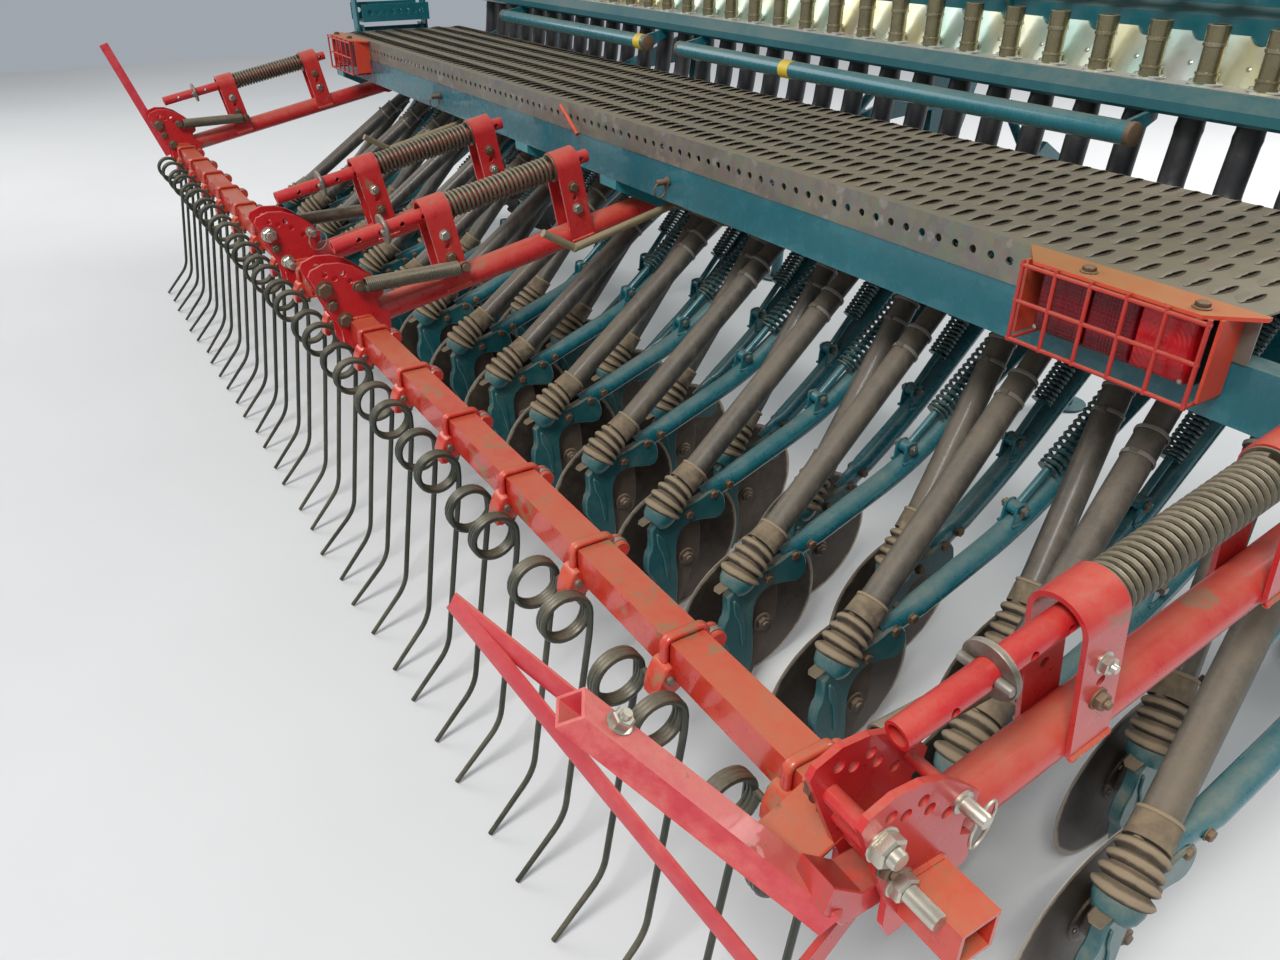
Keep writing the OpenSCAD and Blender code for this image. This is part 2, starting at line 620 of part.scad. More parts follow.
hanger_t = 8;
hanger_web = 22;
module harrow_hangers() color(teal) for (m = [-1, 1], x = harrow_arm_x) {
    inner = harrow_arm_r + gap;
    low = deck_z - flange_h - teal_beam_h;
    // Each arm hangs from one plate: the outer arms from the outside, the inner ones from the right
    side = x == harrow_arm_x[1] ? m : 1;
    plate_x(m * x + side * (inner + hanger_t / 2), hanger_t, [
        [harrow_pivot[0] - 30, harrow_pivot[1] - 26], [harrow_pivot[0] + 26, harrow_pivot[1] - 26],
        [harrow_pivot[0] + 40, harrow_pivot[1] + 15], [deck_rear + 80, harrow_pivot[1] + 30],
        [deck_rear + 40, low], [deck_rear + 2, low], [deck_rear + 2, low - 22]]);
    // The web across the arm, under the beam
    translate([m * x + (side > 0 ? -inner : -inner - 1), deck_rear + 3, low - hanger_web])
        cube([2 * inner + 1, 6, hanger_web]);
    tube_x(m * x - inner, m * x + inner, harrow_pivot[0], harrow_pivot[1], pivot_pin_r);
    tube_x(side > 0 ? m * x + inner + hanger_t : m * x - inner - hanger_t - 12,
           side > 0 ? m * x + inner + hanger_t + 12 : m * x - inner - hanger_t,
           harrow_pivot[0], harrow_pivot[1], pivot_pin_r + 5);
}

// One half of the harrow; m is -1 on the left and 1 on the right
module harrow_beam(m) color(red)
    difference() {
        bar_x(m > 0 ? beam_in : -beam_in - beam_len, m > 0 ? beam_in + beam_len : -beam_in, beam_y, beam_z,
              beam_side, beam_side);
        bar_x(-beam_len - 60, beam_len + 60, beam_y, beam_z, beam_side - 10, beam_side - 10);
    }

strap_s = [240, 568];
strap_w = 60;
strap_t = 6;
// Heights of a strap's holes over the arm's axis; a bolt stands in the first
strap_holes = [118, 92, 66];
strap_hole_r = 6.5;
module harrow_arms(m) color(red) for (x = harrow_arm_x) arm_frame(m * x) {
    outer = harrow_arm_r + strap_t;
    difference() {
        union() {
            rotate([-90, 0, 0]) cylinder(r = harrow_arm_r, h = arm_len + 6);
            rotate([0, 90, 0]) cylinder(r = harrow_arm_r, h = 2 * harrow_arm_r, center = true);
        }
        rotate([0, 90, 0]) translate([0, 0, -50]) cylinder(r = pivot_pin_r + run, h = 100);
    }
    for (s = strap_s) difference() {
        union() {
            translate([-outer, s, -6]) cube([2 * outer, strap_w, rod_w + 6]);
            translate([0, s, rod_w]) rotate([-90, 0, 0]) cylinder(r = outer, h = strap_w);
        }
        translate([-harrow_arm_r + 0.01, s - 1, -7]) cube([2 * harrow_arm_r - 0.02, strap_w + 2, rod_w + 7]);
        translate([0, s - 1, rod_w]) rotate([-90, 0, 0]) cylinder(r = harrow_arm_r - 0.4, h = strap_w + 2);
        for (h = strap_holes)
            translate([-50, s + strap_w / 2, h]) rotate([0, 90, 0]) cylinder(r = strap_hole_r, h = 100);
    }
    post = [m * pull_side(x) * (outer - 1), m * pull_side(x) * (pull_off + 6)];
    translate([min(post), arm_post[0], arm_post[1]]) rotate([0, 90, 0])
        cylinder(r = post_r, h = pull_off + 7 - outer);
}

// A rod is a drilled tube with a collar and a pin behind the rear strap
rod_r = 15;
rod_bore = 11;
rod_s = [205, 830];
rod_hole_pitch = 50;
rod_hole_r = 5.5;
rod_collar = 712;
module harrow_rods(m) color(red) for (x = harrow_arm_x) arm_frame(m * x) {
    translate([0, 0, rod_w]) difference() {
        translate([0, rod_s[0], 0]) rotate([-90, 0, 0]) cylinder(r = rod_r, h = rod_s[1] - rod_s[0]);
        translate([0, rod_s[0] - 1, 0]) rotate([-90, 0, 0])
            cylinder(r = rod_bore, h = rod_s[1] - rod_s[0] + 2);
        for (s = [rod_s[0] + 20 : rod_hole_pitch : rod_s[1] - 20])
            translate([-30, s, 0]) rotate([0, 90, 0]) cylinder(r = rod_hole_r, h = 60);
    }
    translate([0, rod_collar, rod_w]) rotate([-90, 0, 0]) difference() {
        cylinder(r = 31, h = 5);
        translate([0, 0, -1]) cylinder(r = rod_r - 0.5, h = 7);
    }
    translate([0, rod_collar + 10, rod_w]) rotate([0, 90, 0]) cylinder(r = 5.2, h = 56, center = true);
}

// A compression spring round each rod, and a slim tension spring beside each arm
press_coils = 19;
press_wire = 8;
press_coil_r = 29;
washer_t = 3;
pull_r = 15;
post_r = 7;
quadrant_t = 8;
pull_off = harrow_arm_r + fit + quadrant_t + 2 + pull_r;
// Posts that hold the tension springs' ends: [y, z] about the beam's centre, and [along, up] on the arm
quadrant_post = [1, 100];
arm_post = [strap_s[1] + 12, 42];
// The tension springs stand on the side of their arm that faces the middle of the half
function pull_side(x) = x == harrow_arm_x[0] ? 1 : -1;
module harrow_springs(m) color(steel) for (x = harrow_arm_x) {
    from = strap_s[0] + strap_w + fit;
    to = strap_s[1] - fit;
    step = (to - from) / press_coils;
    arm_frame(m * x) translate([0, from, rod_w]) rotate([-90, 0, 0]) rotate_extrude() {
        translate([rod_r + fit, 0]) square([press_coil_r - press_wire / 2 - rod_r - fit, to - from]);
        for (h = [0, to - from - washer_t])
            translate([rod_r + fit, h]) square([harrow_arm_r + 4 - rod_r, washer_t]);
        for (k = [0 : press_coils - 1])
            translate([press_coil_r - press_wire / 2, (k + 0.5) * step]) circle(r = press_wire / 2, $fn = 20);
    }
    px = m * (x + pull_side(x) * pull_off);
    a = [px, beam_y + quadrant_post[0], beam_z + quadrant_post[1]];
    b = [px, arm_at(arm_post[0], arm_post[1])[0], arm_at(arm_post[0], arm_post[1])[1]];
    d = unit(b - a) * (post_r + fit);
    ribbed(a + d, b - d, pull_r - 4, 4, 30);
}

// Quadrant plates weld the arms to the beam: [y, z] outline about the beam's centre, round from the top rear
quadrant_outline = [
    [-94, 131], [-88, 143], [-59, 153], [-26, 150], [3, 138], [32, 115], [59, 89], [56, 68], [44, 60],
    [44, 40], [65, 28], [65, -8], [30, -28], [-17, -54], [-32, -54], [-42, -32], [-43, 3], [-63, 51]
];
quadrant_holes = [[-21, 126], [-10, 109], [16, 88], [-60, 130], [-41, 120]];
quadrant_hole_r = 7;
// Bolts and the pin between the plates: [y, z, radius, length past the outer plate]
quadrant_bolts = [[-66, 100, 10, 14], [-55, 64, 6, 10], [-33, 27, 8, 34], [34, 92, 7, 26]];
module quadrants(m) color(red) for (x = harrow_arm_x) {
    off = harrow_arm_r + fit + quadrant_t / 2;
    difference() {
        for (e = [-1, 1])
            plate_x(m * x + e * off, quadrant_t, [for (q = quadrant_outline) [beam_y + q[0], beam_z + q[1]]]);
        bar_x(m * x - 60, m * x + 60, beam_y, beam_z, beam_side, beam_side);
        for (q = quadrant_holes)
            tube_x(m * x - 60, m * x + 60, beam_y + q[0], beam_z + q[1], quadrant_hole_r);
    }
    // The bolts' long ends stand away from the tension spring
    side = m * pull_side(x);
    for (q = quadrant_bolts) {
        long = m * x - side * (off + quadrant_t / 2 + q[3]);
        short = m * x + side * (off + quadrant_t / 2 + 1);
        tube_x(min(long, short), max(long, short), beam_y + q[0], beam_z + q[1], q[2]);
    }
    post = [m * x + side * off, m * x + side * (pull_off + 6)];
    tube_x(min(post), max(post), beam_y + quadrant_post[0], beam_z + quadrant_post[1], post_r);
}

// Tine pairs stand between the beam's inner end and its outer arm
tine_first = beam_in + 75;
tine_pitch = (harrow_arm_x[1] - 123 - tine_first) / (tines_n - 1);
tine_half = 45;
// The wire between a pair's coils meets them at the front and lies in a groove of its clamp
tine_coil = [beam_y - beam_side / 2 - 45, beam_z - 45];
tine_bridge = [tine_coil[0] + tine_coil_r - tine_wire_r, tine_coil[1]];
bridge_r = tine_wire_r - 0.3;
// A leg leaves the front of its coil and leans this far behind the coil's centre at its knee
tine_lean = 22;
function tine_at(k) = tine_first + k * tine_pitch;
clamp_t = 10;
module tine_clamps(m) color(red) for (k = [0 : tines_n - 1]) {
    x = m * tine_at(k);
    half = beam_side / 2;
    outer = half + clamp_t;
    // A strap over the beam, a block behind it that holds the wire, and an eye in front
    difference() {
        union() {
            bar_x(x - 7, x + 7, beam_y, beam_z, 2 * outer, 2 * outer);
            plate_x(x, 34, [
                [beam_y - half + 10, beam_z + 8], [beam_y - half - 12, beam_z + 8],
                [tine_bridge[0] - 12, tine_bridge[1] + 12], [tine_bridge[0] - 12, tine_bridge[1] - 14],
                [beam_y - half + 10, tine_bridge[1] - 14]]);
            tube_x(x - 10, x + 10, beam_y + half + 16, beam_z + 2, 15);
        }
        bar_x(x - 18, x + 18, beam_y, beam_z, beam_side + 2 * fit, beam_side + 2 * fit);
        tube_x(x - 18, x + 18, tine_bridge[0], tine_bridge[1], bridge_r + fit);
    }
}

module tines(m) color(steel) for (k = [0 : tines_n - 1]) {
    x = m * tine_at(k);
    turn_r = tine_coil_r - tine_wire_r;
    tube_x(x - tine_half, x + tine_half, tine_bridge[0], tine_bridge[1], bridge_r);
    for (e = [-1, 1]) {
        translate([x + e * tine_half, tine_coil[0], tine_coil[1]]) rotate([0, 90, 0]) rotate_extrude()
            for (n = [-1 : 1]) translate([turn_r, n * (2 * tine_wire_r - 0.6)]) circle(r = tine_wire_r);
        leg_x = x + e * (tine_half + 8);
        knee = [leg_x, tine_coil[0] - tine_lean, 100];
        rod([leg_x, tine_coil[0] + turn_r - 0.8, tine_coil[1]], knee, tine_wire_r - 0.2);
        rod(knee, [leg_x, knee[1] - 85, tine_wire_r], tine_wire_r - 0.6);
    }
}

// Marker bars at the beam's ends. On the right: a bent plate on the beam, a square tube and two flat bars
// These points are measured from the beam's centre at the outer arm
marker_tip = [-370, -280, 180];
marker_root = [55, -76, 19];
marker_tube_end = [-215, -230, 139];
marker_side = 40;
bar_w = 30;
bar_t = 6;
module end_frame(m) color(red) {
    half = beam_side / 2;
    outer = harrow_arm_x[1];
    if (m > 0) {
        start = [outer, beam_y, beam_z];
        tip = start + marker_tip;
        tube_len = norm(marker_tube_end - marker_root);
        plate_x(outer - 68, 60, [
            [beam_y + 20, beam_z + half], [beam_y - 30, beam_z + half], [beam_y - 104, beam_z - 10],
            [beam_y - 108, beam_z - 4], [beam_y - 30, beam_z + half + 7], [beam_y + 20, beam_z + half + 7]]);
        along(start + marker_root, start + marker_tube_end) difference() {
            translate([-marker_side / 2, -marker_side / 2, 0]) cube([marker_side, marker_side, tube_len]);
            translate([-marker_side / 2 + 4, -marker_side / 2 + 4, 40])
                cube([marker_side - 8, marker_side - 8, tube_len]);
        }
        plate_x(outer, 44, [
            [beam_y - half, beam_z + 12], [beam_y - half, beam_z - 20], [beam_y - 80, beam_z - 20],
            [beam_y - 110, beam_z + 20], [beam_y - 100, beam_z + 50], [beam_y - 60, beam_z + 14]]);
        plate_x(outer - 6, 8, [
            [beam_y + 10, beam_z - half], [beam_y - 20, beam_z - half], [beam_y - 134, beam_z - 130],
            [beam_y - 134, beam_z - 152], [beam_y - 104, beam_z - 152]]);
        flat_bar(tip, start + [-5, -90, 4], bar_w, bar_t);
        flat_bar(tip, start + [-5, -120, -140], bar_w, bar_t);
    } else {
        start = [-outer, beam_y, beam_z];
        translate([-outer - 80, beam_y - half - 15, beam_z - half]) cube([40, 15, beam_side - 15]);
        flat_bar(start - [60, half + 16, half], start + [-75, -170, 370], bar_w, bar_t);
    }
}

module harrow_beam_left() harrow_beam(-1);
module harrow_arms_left() harrow_arms(-1);
module harrow_rods_left() harrow_rods(-1);
module harrow_springs_left() harrow_springs(-1);
module quadrants_left() quadrants(-1);
module tine_clamps_left() tine_clamps(-1);
module tines_left() tines(-1);
module end_frame_left() end_frame(-1);
module harrow_beam_right() harrow_beam(1);
module harrow_arms_right() harrow_arms(1);
module harrow_rods_right() harrow_rods(1);
module harrow_springs_right() harrow_springs(1);
module quadrants_right() quadrants(1);
module tine_clamps_right() tine_clamps(1);
module tines_right() tines(1);
module end_frame_right() end_frame(1);

// Cranks that set the coulters' pressure: a shaft under the platform, a bent handle behind it
crank_shaft = [-250, 730];
crank_x = [-760, 430];
crank_bend = [-525, 668];
crank_grip = [-600, 712];
module pressure_cranks() color(teal) for (x = crank_x) {
    low = deck_z - flange_h - teal_beam_h;
    tube_x(x - 12, x + 200, crank_shaft[0], crank_shaft[1], 11);
    for (h = [22, 180])
        plate_x(x + h, 8, [
            [deck_rear + 8, low], [deck_rear + 40, low], [crank_shaft[0] + 18, crank_shaft[1] + 8],
            [crank_shaft[0] + 12, crank_shaft[1] - 16], [crank_shaft[0] - 18, crank_shaft[1] - 8]]);
    rod([x, crank_shaft[0], crank_shaft[1]], [x, crank_bend[0], crank_bend[1]], 9);
    translate([x, crank_bend[0], crank_bend[1]]) sphere(r = 9.6);
    rod([x, crank_bend[0], crank_bend[1]], [x, crank_grip[0], crank_grip[1]], 8.5);
}

// Lamps under the platform's rear edge
lamp_x = deck_len / 2 - 155;
lamp_w = 230;
lamp_h = 95;
lamp_d = 50;
lamp_plate_t = 3;
lamp_rise = 2;
module lamp_brackets() color(red) for (s = [-1, 1]) {
    // The top plate narrows to the rear and stands out past the lamp at both ends
    translate([s * lamp_x, deck_rear, deck_z - lamp_plate_t]) linear_extrude(lamp_plate_t + lamp_rise)
        polygon([[-165, 0], [-165, -8], [-118, -lamp_d - 12], [118, -lamp_d - 12], [165, -8], [165, 0]]);
    for (e = [-1, 1])
        translate([s * lamp_x + e * 135 - 2, deck_rear - lamp_d, deck_z - lamp_h - 12])
            cube([4, lamp_d, lamp_h + 10]);
}
module lamps() color(lens) for (s = [-1, 1])
    translate([s * lamp_x - lamp_w / 2, deck_rear - lamp_d, deck_z - lamp_plate_t - lamp_h])
        cube([lamp_w, lamp_d, lamp_h]);

// A cage of wire behind each lamp, welded to the top plate's rear edge
guard_r = 3;
guard_half = 130;
guard_low = 111;
module lamp_guards() color(red) for (s = [-1, 1]) {
    y = deck_rear - lamp_d - 12 - guard_r - fit;
    low = deck_z - guard_low;
    for (k = [-5 : 2 : 5])
        translate([s * lamp_x + k * guard_half / 5, y, low - guard_r])
            cylinder(r = guard_r, h = guard_low + 4);
    for (z = [low, deck_z - 56, deck_z - 6])
        tube_x(s * lamp_x - guard_half - 3, s * lamp_x + guard_half + 3, y, z, guard_r);
    for (x = [s * lamp_x - guard_half, s * lamp_x + guard_half])
        rod([x, y, low], [x, deck_rear - 1, low], guard_r);
}

axle_z = tyre_d / 2;
axle_r = 22;
wheel_arm_t = 24;
module wheel_arms() color(teal) for (s = [-1, 1]) {
    x = [s * (frame_half + wheel_arm_t), s * (wheel_x + 60)];
    plate_x(s * (frame_half + wheel_arm_t / 2), wheel_arm_t, [
        [wheel_y - 50, axle_z - 40], [wheel_y + 50, axle_z - 40],
        [front_beam[0] + 50, front_beam[1] - 50], [front_beam[0] + 50, front_beam[1] + 50],
        [front_beam[0] - 60, front_beam[1] + 50], [wheel_y - 50, axle_z + 40]]);
    tube_x(min(x), max(x), wheel_y, axle_z, axle_r);
}

rim_r = 203;
rim_w = 180;
rim_t = 8;
module tyre(s) color(dark) translate([s * wheel_x, wheel_y, axle_z]) rotate([0, 90, 0])
    rotate_extrude() difference() {
        translate([rim_r + fit, -tyre_w / 2]) square([tyre_d / 2 - rim_r - fit, tyre_w]);
        translate([tyre_d / 2, tyre_w / 2]) rotate(45) square(60, center = true);
        translate([tyre_d / 2, -tyre_w / 2]) rotate(45) square(60, center = true);
    }
module rim(s) color(zinc) translate([s * wheel_x, wheel_y, axle_z]) rotate([0, 90, 0])
    rotate_extrude() {
        translate([rim_r - rim_t, -rim_w / 2]) square([rim_t, rim_w]);
        translate([axle_r + run, -6]) square([rim_r - rim_t - axle_r, 6]);
        translate([axle_r + run, -50]) square([30, 100]);
    }
module tyre_left() tyre(-1);
module tyre_right() tyre(1);
module rim_left() rim(-1);
module rim_right() rim(1);

// Parking stands swing forward and up about a pin through their ears
stand_pin = [1040, 610];
stand_w = 50;
stand_pin_r = 10;
module stand(s) color(teal) {
    foot_y = 1010;
    difference() {
        union() {
            rod([s * stand_x, stand_pin[0], stand_pin[1]], [s * stand_x, foot_y, 6], 22);
            tube_x(s * stand_x - stand_w / 2, s * stand_x + stand_w / 2, stand_pin[0], stand_pin[1], 25);
            translate([s * stand_x, foot_y, 0]) cylinder(r = 60, h = 8);
        }
        tube_x(s * stand_x - 60, s * stand_x + 60, stand_pin[0], stand_pin[1], stand_pin_r + run);
    }
}
module stand_left() stand(-1);
module stand_right() stand(1);

ladder_hinge = [-deck_len / 2 - 40, deck_z + 5];
ladder_y = [-262, 12];
ladder_pin_r = 8;
module ladder_base() color(teal) {
    end = -deck_len / 2;
    translate([end - 8, ladder_y[0] + 18, deck_z - 60]) cube([8, ladder_y[1] - ladder_y[0] - 28, 60]);
    top = ladder_hinge[1] + 16;
    for (y = [ladder_y[0] + 18, ladder_y[1] - 18])
        translate([0, y, 0]) rotate([90, 0, 0]) linear_extrude(8, center = true)
            polygon([[end, deck_z - 60], [end, deck_z - 10], [end - 15, top],
                     [ladder_hinge[0] - 14, top], [ladder_hinge[0] - 14, top - 32]]);
    translate([ladder_hinge[0], ladder_y[0] - 2, ladder_hinge[1]]) rotate([-90, 0, 0])
        cylinder(r = ladder_pin_r, h = ladder_y[1] + 8 - ladder_y[0] + 4);
}

// The ladder: two side plates and three perforated channel steps
step_d = 140;
step_h = 60;
step_rise = 265;
step_t = 3;
step_hole_r = 9;
step_holes = 8;
module ladder() color(teal) {
    span = ladder_y[1] - ladder_y[0] - 8;
    difference() {
        for (y = ladder_y) translate([ladder_hinge[0] - 30, y, ladder_hinge[1] - 20]) cube([50, 8, 850]);
        translate([ladder_hinge[0], ladder_y[0] - 5, ladder_hinge[1]]) rotate([-90, 0, 0])
            cylinder(r = ladder_pin_r + run, h = ladder_y[1] - ladder_y[0] + 30);
    }
    for (k = [0 : 2])
        translate([ladder_hinge[0] - step_d / 2, ladder_y[0] + 8, ladder_hinge[1] + 30 + step_rise * k])
        difference() {
            cube([step_d, span, step_h]);
            translate([step_t, -1, step_t]) cube([step_d - 2 * step_t, span + 2, step_h]);
            for (n = [1 : step_holes])
                translate([-1, n * span / (step_holes + 1), step_h * 0.55]) rotate([0, 90, 0])
                    cylinder(r = step_hole_r, h = step_d + 2);
        }
}

main_frame();
hitch_headstock();
hopper();
hopper_lid();
hopper_legs();
metering_tray();
outlet_chutes();
tray_rail();
tray_tubes();
metering_shaft();
drive_box();
seed_hoses();
tubes_upper();
tubes_lower();
bellows();
pivot_bar();
pressure_bar();
coulter_arms();
coulter_boots();
hub_plates();
coulter_rods();
coulter_springs();
discs_front();
discs_rear();
platform_deck();
platform_beam();
harrow_hangers();
pressure_cranks();
lamp_brackets();
lamps();
lamp_guards();
wheel_arms();
tyre_left();
rim_left();
tyre_right();
rim_right();
stand_left();
stand_right();
ladder_base();
ladder();
harrow_beam_left();
harrow_arms_left();
harrow_rods_left();
harrow_springs_left();
quadrants_left();
tine_clamps_left();
tines_left();
end_frame_left();
harrow_beam_right();
harrow_arms_right();
harrow_rods_right();
harrow_springs_right();
quadrants_right();
tine_clamps_right();
tines_right();
end_frame_right();
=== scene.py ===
"""A mounted seed drill with a following tine harrow: finishes, springs, tines, tread and small fittings.

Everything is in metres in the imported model's own frame: +X to the right seen from behind, +Y the way the drill
travels, +Z up, with the ground at z = 0.
"""

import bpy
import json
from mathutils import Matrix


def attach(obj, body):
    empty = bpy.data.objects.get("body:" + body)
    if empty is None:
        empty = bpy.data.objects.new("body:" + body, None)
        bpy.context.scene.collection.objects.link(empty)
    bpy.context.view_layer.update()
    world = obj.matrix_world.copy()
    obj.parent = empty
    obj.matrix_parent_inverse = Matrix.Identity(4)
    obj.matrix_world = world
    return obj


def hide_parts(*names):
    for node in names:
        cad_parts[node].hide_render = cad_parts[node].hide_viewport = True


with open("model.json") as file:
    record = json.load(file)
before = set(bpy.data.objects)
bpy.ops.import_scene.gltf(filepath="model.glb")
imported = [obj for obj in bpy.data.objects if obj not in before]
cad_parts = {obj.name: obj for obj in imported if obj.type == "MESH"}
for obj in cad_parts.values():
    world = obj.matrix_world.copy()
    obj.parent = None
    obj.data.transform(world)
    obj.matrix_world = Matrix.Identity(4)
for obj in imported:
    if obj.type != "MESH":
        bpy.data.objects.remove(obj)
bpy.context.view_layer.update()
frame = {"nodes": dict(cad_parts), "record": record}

import json
import logging
import math
from collections.abc import Iterable
from dataclasses import dataclass, field, replace
from enum import Enum

import bpy
import numpy as np

LOG = logging.getLogger("seed_drill")
Colour = tuple[float, float, float]
Vector3 = tuple[float, float, float]
Pair = tuple[float, float]
# The frame's three directions, and the two ends of the drill with the sign of their x
X, Y, Z = np.eye(3)
SIDES = ((-1, "left"), (1, "right"))


class Pattern(Enum):
    """How a surface differs from an even coat."""

    PLAIN = "plain"
    SPANGLE = "zinc crystals"
    IRIDESCENT = "passivated zinc"
    TURNED = "rings round the x axis"
    LENS = "moulded prisms"
    STREAKED = "rain streaks"


class Link:
    """A shader value that takes part in Python expressions and adds Math nodes as it goes."""

    def __init__(self, shader: "Shader", socket: bpy.types.NodeSocket) -> None:
        """Keeps the socket and the shader that it belongs to."""
        self.shader = shader
        self.socket = socket

    def _math(self, operation: str, first: object, second: object) -> "Link":
        """Adds one Math node.

        Args:
            operation: Blender's name of the operation.
            first: a number or a Link.
            second: a number or a Link.

        Returns:
            The node's value.
        """
        return self.shader.node("ShaderNodeMath", {"operation": operation}, {0: first, 1: second})

    def __add__(self, other: object) -> "Link":
        """Sum."""
        return self._math("ADD", self, other)

    def __radd__(self, other: object) -> "Link":
        """Sum with a number on the left."""
        return self._math("ADD", other, self)

    def __sub__(self, other: object) -> "Link":
        """Difference."""
        return self._math("SUBTRACT", self, other)

    def __rsub__(self, other: object) -> "Link":
        """Difference with a number on the left."""
        return self._math("SUBTRACT", other, self)

    def __mul__(self, other: object) -> "Link":
        """Product."""
        return self._math("MULTIPLY", self, other)

    def __rmul__(self, other: object) -> "Link":
        """Product with a number on the left."""
        return self._math("MULTIPLY", other, self)

    def above(self, edge: float, soft: float) -> "Link":
        """A smooth step from 0 below edge - soft to 1 above edge + soft."""
        values = {0: self, 1: edge - soft, 2: edge + soft}
        return self.shader.node("ShaderNodeMapRange", {"interpolation_type": "SMOOTHSTEP"}, values)

    def clamped(self) -> "Link":
        """The value held between 0 and 1."""
        return self.shader.node("ShaderNodeClamp", {}, {0: self})


class Shader:
    """One material's node tree."""

    def __init__(self, name: str) -> None:
        """Makes an empty material with its Principled shader and output."""
        self.material = bpy.data.materials.new(name)
        self.material.use_nodes = True
        self.tree = self.material.node_tree
        self.tree.nodes.clear()
        self.output = self.tree.nodes.new("ShaderNodeOutputMaterial")
        self.surface = self.tree.nodes.new("ShaderNodeBsdfPrincipled")
        self.tree.links.new(self.surface.outputs[0], self.output.inputs[0])
        self.coordinates = self.node("ShaderNodeTexCoord", {}, {}, "Object")

    def node(self, kind: str, settings: dict, values: dict, out: object = 0) -> Link:
        """Adds any node.

        Args:
            kind: Blender's name of the node type.
            settings: the node's own properties, set first; "stops" are a colour ramp's (place, colour) pairs.
            values: a number, colour or Link for each input, by name or index.
            out: name or index of the output that is wanted.

        Returns:
            That output.
        """
        made = self.tree.nodes.new(kind)
        for key, value in settings.items():
            if key == "stops":
                ramp = made.color_ramp.elements
                while len(ramp) < len(value):
                    ramp.new(0.5)
                for stop, (place, colour) in zip(ramp, value):
                    stop.position = place
                    stop.color = (*colour, 1.0)
            else:
                setattr(made, key, value)
        for key, value in values.items():
            self.feed(made.inputs[key], value)
        return Link(self, made.outputs[out])

    def feed(self, socket: bpy.types.NodeSocket, value: object) -> None:
        """Links a Link to a socket, or sets the socket to a plain value."""
        if isinstance(value, Link):
            self.tree.links.new(value.socket, socket)
        elif isinstance(value, tuple) and socket.type == "RGBA":
            socket.default_value = (*value, 1.0) if len(value) == 3 else value
        else:
            socket.default_value = value

    def noise(self, scale: float, detail: float = 4.0, rough: float = 0.6, stretch: Colour = (1, 1, 1)) -> Link:
        """Fractal noise of about `scale` waves per metre, drawn out by `stretch`."""
        place = self.node("ShaderNodeMapping", {}, {"Vector": self.coordinates, "Scale": stretch})
        values = {"Vector": place, "Scale": scale, "Detail": detail, "Roughness": rough}
        return self.node("ShaderNodeTexNoise", {}, values, "Fac")

    def mix(self, factor: object, first: object, second: object, mode: str = "MIX") -> Link:
        """A colour between first and second."""
        settings = {"data_type": "RGBA", "blend_type": mode}
        return self.node("ShaderNodeMix", settings, {0: factor, 6: first, 7: second}, 2)

    def up(self) -> Link:
        """How far the surface faces up: 1 for a floor, -1 for a ceiling."""
        normal = self.node("ShaderNodeNewGeometry", {}, {}, "Normal")
        return self.node("ShaderNodeSeparateXYZ", {}, {0: normal}, 2)


